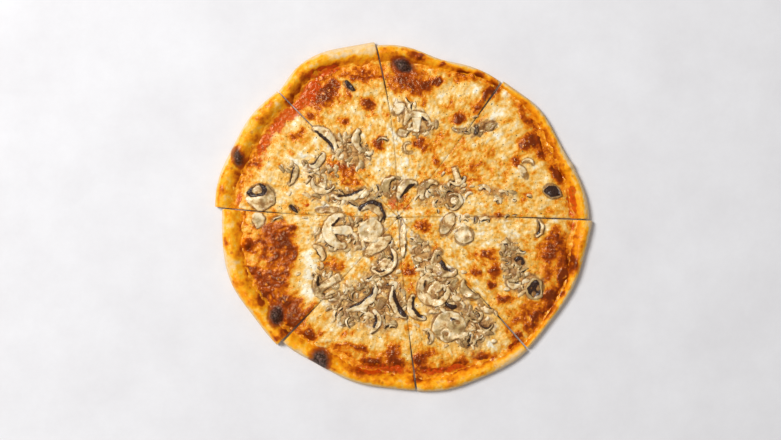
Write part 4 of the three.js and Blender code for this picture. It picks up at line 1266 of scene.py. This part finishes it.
def mushroom_material(mushroom):
    finish = Finish("cooked mushroom")
    paler = finish.math("MULTIPLY", finish.value("pale"), 0.15)
    mottle = finish.math("ADD", finish.grain(5, detail=4, roughness=0.6), paler)
    flesh = finish.ramp(mottle, (0.36, mushroom.shade), (0.48, mushroom.flesh), (0.64, mushroom.pale))
    glassy = finish.ramp(mottle, (0.38, mushroom.brown), (0.62, mushroom.olive))
    tone = finish.math("ADD", finish.value("tone"), uneven(finish, 4, 0.9))
    colour = finish.blend(finish.between(tone, 0.25, 0.8), flesh, glassy)
    # The skin colour at the outline and low on the sides is partly the cooked skin and partly painted shade.
    edge = finish.math("ADD", finish.value("edge"), uneven(finish, 3, 1.0))
    colour = finish.blend(finish.between(edge, 0.35, 1.1, 0, 0.85), colour, mushroom.skin)
    rays = finish.math("SINE", finish.math("MULTIPLY", finish.value("ray"), 4.2))
    striped = finish.blend(finish.between(rays, 0.2, 1), mushroom.gill, mushroom.gill_light)
    dark = finish.math("ADD", finish.value("gill"), uneven(finish, 2.2, 1.1))
    colour = finish.blend(finish.between(dark, 0.15, 0.5, 0, 0.6), colour, mushroom.brown)
    colour = finish.blend(finish.between(dark, 0.4, 0.8), colour, striped)
    normal = finish.bumps(finish.grain(1.6, detail=3), strength=0.5, distance=0.6)
    glossed(finish, specular=0.3, coat=0.2, coat_roughness=0.1)
    return finish.done(colour, normal, roughness=0.36)


def herb_material(herbs):
    finish = Finish("dried herbs")
    colour = finish.blend(finish.value("leaf"), herbs.brown, herbs.green)
    normal = finish.bumps(finish.grain(0.4), strength=0.4, distance=0.2)
    return finish.done(colour, normal, roughness=0.5)


def floor_material(stage):
    finish = Finish("pale plaster")
    clouds = finish.grain(90, detail=8, roughness=0.7)
    cloudy = finish.ramp(clouds, (0.3, stage.shade), (0.7, stage.floor))
    normal = finish.bumps(finish.grain(4, detail=5), strength=0.15, distance=0.5)
    return finish.done(cloudy, normal, roughness=0.8)


# ---- Settings ----


def tint(name, code, description):
    return bpy.props.FloatVectorProperty(
        name=name, description=description, subtype="COLOR", size=3, min=0, max=1, default=paint(code)
    )


def span(name, millimetres, description):
    return bpy.props.FloatProperty(
        name=name, description=description, unit="LENGTH", subtype="DISTANCE", min=0, default=millimetres * MM
    )


class OvenSettings(bpy.types.PropertyGroup):
    """How the pizza browned."""

    orange: tint("Orange", 0xE8820A, "First browning")
    toast: tint("Toast", 0xC86004, "Orange-brown")
    deep: tint("Deep", 0xA23E00, "Red-brown")
    scorch: tint("Scorch", 0x782A02, "Dark brown")
    char: tint("Char", 0x30201B, "Burnt black")
    ash: tint("Ash", 0x6B5048, "Grey-brown on burnt dough")
    red: tint("Red", 0xD04404, "Sauce that shows through")


class DoughSettings(bpy.types.PropertyGroup):
    """The dough and its rim."""

    relief: span("Relief", 0.7, "Unevenness of the rim")
    floury: tint("Floury", 0xF2CF9A, "Floury dough")
    pale: tint("Pale", 0xF8C064, "Pale dough")
    glaze: tint("Glaze", 0xFFB41E, "Shiny yellow dough")
    golden: tint("Golden", 0xFC9C08, "Golden dough")
    crumb: tint("Crumb", 0xF1DDB0, "Dough inside, at a cut")
    crumb_shade: tint("Crumb shade", 0xCFAE76, "Pores inside the dough")
    scorched: tint("Scorched", 0x8A5A2A, "Spots on the underside")


class SauceSettings(bpy.types.PropertyGroup):
    """The tomato sauce."""

    relief: span("Relief", 0.3, "Unevenness of the sauce")
    oil: tint("Oil", 0xFFC850, "Sauce under fat")
    glaze: tint("Glaze", 0xF09018, "Glazed sauce")
    stain: tint("Stain", 0xF4A010, "Thin sauce on dough")


class CheeseSettings(bpy.types.PropertyGroup):
    """The melted cheese."""

    relief: span("Relief", 0.76, "Unevenness of the cheese")
    curd: span("Curd", 3.4, "Size of the curds that show in the melted cheese")
    gap: span("Gap", 0.1, "Width of a cut that cheese has nearly closed")
    white: tint("White", 0xFFF4D8, "Palest cheese")
    cream: tint("Cream", 0xFCDDA0, "Pale cheese")
    yellow: tint("Yellow", 0xF6C670, "Most of the cheese")
    gold: tint("Gold", 0xEFA934, "Golden cheese")
    # Brown of mushroom juice; also the colour of the painted shade round the mushrooms and along the cuts.
    juice_and_shade: tint("Juice", 0x80502A, "Cheese wet with mushroom juice")
    broth: tint("Broth", 0xC08C54, "Cheese greyed by mushroom juice")
    shadow: tint("Shadow", 0x4A2C16, "Folds between small bits of mushroom")
    pepper: tint("Pepper", 0x5E4424, "Specks of herb and pepper")


class MushroomSettings(bpy.types.PropertyGroup):
    """The slices of mushroom."""

    thickness: span("Thickness", 2.5, "Thickness of a slice")
    voxel: span("Grain", 0.5, "Size of the faces of a slice")
    slivers: bpy.props.IntProperty(name="Slivers", description="Number of strewn curls", min=0, default=460)
    pale: tint("Pale", 0xFBE8C2, "Palest flesh")
    flesh: tint("Flesh", 0xF0CD90, "Cooked flesh")
    shade: tint("Shade", 0xBA884C, "Flesh with cooking juice")
    olive: tint("Olive", 0xC4A46A, "Glassy flesh")
    brown: tint("Brown", 0x946A3C, "Browned flesh")
    # Colour of the cooked skin, also standing in for painted shade at the slices' edges.
    skin: tint("Skin", 0x54351A, "Skin of the cap")
    gill: tint("Gill", 0x24130C, "Gills")
    gill_light: tint("Gill edge", 0x5A3A26, "Edges of the gills")


class HerbSettings(bpy.types.PropertyGroup):
    """The dried herbs."""

    count: bpy.props.IntProperty(name="Count", description="Number of flakes", min=0, default=1000)
    size: span("Size", 1.15, "Length of a flake")
    brown: tint("Brown", 0x3E2A16, "Dark flakes")
    green: tint("Green", 0x4C4A1E, "Green flakes")


class StageSettings(bpy.types.PropertyGroup):
    """The floor, the light and the camera."""

    floor: tint("Floor", 0xEFEEF0, "Pale floor")
    shade: tint("Floor shade", 0xE4E2E4, "Clouds in the floor")
    height: span("Camera height", 1405, "Height of the camera over the floor")
    key: bpy.props.FloatProperty(
        name="Key light", description="Light from the left", unit="POWER", default=62
    )
    fill: bpy.props.FloatProperty(name="Fill light", description="Light from all round", min=0, default=0.31)


class PizzaSettings(bpy.types.PropertyGroup):
    """All that can be set on the pizza."""

    oven: bpy.props.PointerProperty(type=OvenSettings, name="Oven", description="Browning")
    dough: bpy.props.PointerProperty(type=DoughSettings, name="Dough", description="Dough and rim")
    sauce: bpy.props.PointerProperty(type=SauceSettings, name="Sauce", description="Tomato sauce")
    cheese: bpy.props.PointerProperty(type=CheeseSettings, name="Cheese", description="Melted cheese")
    mushroom: bpy.props.PointerProperty(type=MushroomSettings, name="Mushroom", description="Mushrooms")
    herbs: bpy.props.PointerProperty(type=HerbSettings, name="Herbs", description="Dried herbs")
    stage: bpy.props.PointerProperty(type=StageSettings, name="Stage", description="Floor, light, camera")


# ---- Operators ----

TILT_SEED = 1  # of the noise that tilts the mushrooms and roughens the loose bits
BITS_SEED = 5
HERBS_SEED = 8
CLEAR_OF_MUSHROOMS = 0.8  # how far a strewn bit stays from the slices
KEY_AT = (-1.3, 0.8, 2.2)  # where the light hangs, in metres
CAMERA_OVER = (-0.0123, -0.003)  # what the camera looks straight down on, in metres


class PIZZA_OT_crusts(bpy.types.Operator):
    """Make the dough of each slice, with its rim"""

    bl_idname = "pizza.crusts"
    bl_label = "Bake the dough"

    def execute(self, context):
        pizza = context.scene.pizza
        material = crust_material(pizza.dough, pizza.oven)
        for k in range(len(CUTS)):
            make_crust(k, pizza.dough, material)
        return {"FINISHED"}


class PIZZA_OT_sauce(bpy.types.Operator):
    """Make the tomato sauce of each slice"""

    bl_idname = "pizza.sauce"
    bl_label = "Spread the sauce"

    def execute(self, context):
        pizza = context.scene.pizza
        material = sauce_material(pizza.sauce, pizza.oven)
        for k in range(len(CUTS)):
            make_sauce(k, pizza.sauce, material)
        return {"FINISHED"}


class PIZZA_OT_cheese(bpy.types.Operator):
    """Make the melted cheese of each slice"""

    bl_idname = "pizza.cheese"
    bl_label = "Melt the cheese"

    def execute(self, context):
        pizza = context.scene.pizza
        material = cheese_material(pizza.cheese, pizza.oven)
        for k in range(len(CUTS)):
            make_cheese(k, pizza.cheese, material)
        return {"FINISHED"}


class PIZZA_OT_mushrooms(bpy.types.Operator):
    """Make the slices of mushroom, one piece for each"""

    bl_idname = "pizza.mushrooms"
    bl_label = "Lay the mushrooms"

    def execute(self, context):
        settings = context.scene.pizza.mushroom
        material = mushroom_material(settings)
        noise.seed_set(TILT_SEED)
        for i, look in enumerate(MUSHROOMS, 1):
            mesh = mushroom_mesh(look, settings, over=-0.5, seed=i * 17.3)
            put(f"sliced_mushroom_{i:02d}", mesh, material, "mushroom", f"mushroom_{i:02d}")
        scraps = [
            mushroom_mesh(look, settings, over=-1.4, seed=i * 23.7 + 400) for i, look in enumerate(SCRAPS)
        ]
        put("mushroom_scraps", joined(scraps), material, "mushroom")
        return {"FINISHED"}


class PIZZA_OT_bits(bpy.types.Operator):
    """Make the small bits of mushroom that lie loose on the cheese"""

    bl_idname = "pizza.bits"
    bl_label = "Scatter the bits"

    def execute(self, context):
        pizza = context.scene.pizza
        draw = random.Random(BITS_SEED)
        noise.seed_set(TILT_SEED)
        areas = [mark[2] * mark[3] for mark in MASH]
        slivers = []
        while len(slivers) < pizza.mushroom.slivers:
            cx, cy, length, width, turn, _ = draw.choices(MASH, areas)[0]
            out = math.sqrt(draw.random())
            angle = draw.uniform(0, 2 * math.pi)
            dx, dy = turned(length / 2 * out * math.cos(angle), width / 2 * out * math.sin(angle), turn)
            x, y = cx + dx, cy + dy
            size = draw.uniform(3, 11)
            if from_mushrooms(np.array([x]), np.array([y]))[0] > CLEAR_OF_MUSHROOMS:
                slivers.append((
                    x, y, size, min(size * draw.uniform(0.3, 0.6), 4.2), draw.uniform(0, 360),
                    draw.uniform(20, 200), draw.choice((0, 0, 0.5, 1)), draw.uniform(0, 1),
                ))
        bend, tone = 70, 0.3
        slivers += [(x, y, length, width, turn, bend, dark, tone) for x, y, length, width, turn, dark in BITS]
        ground = cheese_height_at(*np.array(slivers)[:, :2].T, pizza.cheese)
        meshes = [sliver_mesh((x, y, z + 0.35), *sizes) for (x, y, *sizes), z in zip(slivers, ground)]
        put("mushroom_slivers", joined(meshes), bpy.data.materials["cooked mushroom"], "mushroom")
        return {"FINISHED"}


class PIZZA_OT_herbs(bpy.types.Operator):
    """Scatter dried herbs over the cheese"""

    bl_idname = "pizza.herbs"
    bl_label = "Scatter the herbs"

    def execute(self, context):
        pizza = context.scene.pizza
        draw = random.Random(HERBS_SEED)
        reach = 138
        radii = [math.sqrt(draw.uniform(0.0004, 1)) * reach for _ in range(pizza.herbs.count)]
        angles = [draw.uniform(0, 2 * math.pi) for _ in radii]
        x = np.array([r * math.cos(a) for r, a in zip(radii, angles)])
        y = np.array([r * math.sin(a) for r, a in zip(radii, angles)])
        ground = cheese_height_at(x, y, pizza.cheese)
        bm = bmesh.new()
        leaf = bm.verts.layers.float.new("leaf")
        for px, py, z in zip(x, y, ground):
            long = pizza.herbs.size / MM * draw.uniform(0.4, 1.3) / 2
            size = Matrix.Diagonal((long, long * draw.uniform(0.35, 0.8), 0.22, 1))
            turn = Matrix.Rotation(draw.uniform(0, math.pi), 4, "Z")
            turn = turn @ Matrix.Rotation(draw.uniform(-0.4, 0.4), 4, "X")
            spot = Matrix.Translation((px + CROSSING[0], py + CROSSING[1], z + 0.12))
            matrix = Matrix.Scale(MM, 4) @ spot @ turn @ size
            made = bmesh.ops.create_icosphere(bm, subdivisions=1, radius=1, matrix=matrix)
            green = draw.random() < 0.4
            for vert in made["verts"]:
                vert[leaf] = green
        mesh = bpy.data.meshes.new("herbs")
        bm.to_mesh(mesh)
        bm.free()
        put("herb_flakes", mesh, herb_material(pizza.herbs), "mushroom")
        return {"FINISHED"}


class PIZZA_OT_stage(bpy.types.Operator):
    """Make the floor, the lights and the camera"""

    bl_idname = "pizza.stage"
    bl_label = "Set the stage"

    def execute(self, context):
        stage = context.scene.pizza.stage
        bm = bmesh.new()
        bmesh.ops.create_grid(bm, x_segments=1, y_segments=1, size=4)
        mesh = bpy.data.meshes.new("floor")
        bm.to_mesh(mesh)
        bm.free()
        mesh.materials.append(floor_material(stage))
        floor = bpy.data.objects.new("floor", mesh)
        context.scene.collection.objects.link(floor)
        world = bpy.data.worlds.new("studio")
        world.use_nodes = True
        world.node_tree.nodes["Background"].inputs[0].default_value = (1, 1, 1, 1)
        world.node_tree.nodes["Background"].inputs[1].default_value = stage.fill
        context.scene.world = world
        lamp = bpy.data.lights.new("key", "AREA")
        lamp.energy = stage.key
        lamp.size = 0.9
        key = bpy.data.objects.new("key", lamp)
        key.location = KEY_AT
        key.rotation_euler = (-key.location).to_track_quat("-Z", "Y").to_euler()
        context.scene.collection.objects.link(key)
        eye = bpy.data.cameras.new("camera")
        eye.lens = 70
        eye.sensor_width = 36
        eye.clip_start = 0.05
        camera = bpy.data.objects.new("camera", eye)
        camera.location = (*CAMERA_OVER, stage.height)
        context.scene.collection.objects.link(camera)
        context.scene.camera = camera
        context.scene.view_settings.view_transform = "Standard"
        return {"FINISHED"}


class PIZZA_PT_panel(bpy.types.Panel):
    """The pizza's settings and the steps that make it"""

    bl_idname = "PIZZA_PT_panel"
    bl_label = "Pizza"
    bl_space_type = "VIEW_3D"
    bl_region_type = "UI"
    bl_category = "Pizza"

    def draw(self, context):
        pizza = context.scene.pizza
        for step in STEPS:
            self.layout.operator(step.bl_idname)
        for group in ("oven", "dough", "sauce", "cheese", "mushroom", "herbs", "stage"):
            box = self.layout.box()
            box.label(text=group.capitalize())
            settings = getattr(pizza, group)
            for name in settings.__annotations__:
                box.prop(settings, name)


STEPS = (
    PIZZA_OT_crusts,
    PIZZA_OT_sauce,
    PIZZA_OT_cheese,
    PIZZA_OT_mushrooms,
    PIZZA_OT_bits,
    PIZZA_OT_herbs,
    PIZZA_OT_stage,
)
CLASSES = (
    OvenSettings,
    DoughSettings,
    SauceSettings,
    CheeseSettings,
    MushroomSettings,
    HerbSettings,
    StageSettings,
    PizzaSettings,
    *STEPS,
    PIZZA_PT_panel,
)


def register():
    for one in CLASSES:
        bpy.utils.register_class(one)
    bpy.types.Scene.pizza = bpy.props.PointerProperty(type=PizzaSettings)


def unregister():
    del bpy.types.Scene.pizza
    for one in reversed(CLASSES):
        bpy.utils.unregister_class(one)


def main():
    register()
    bpy.ops.pizza.crusts()
    bpy.ops.pizza.sauce()
    bpy.ops.pizza.cheese()
    bpy.ops.pizza.mushrooms()
    bpy.ops.pizza.bits()
    bpy.ops.pizza.herbs()
    bpy.ops.pizza.stage()


if __name__ == "__main__":
    main()
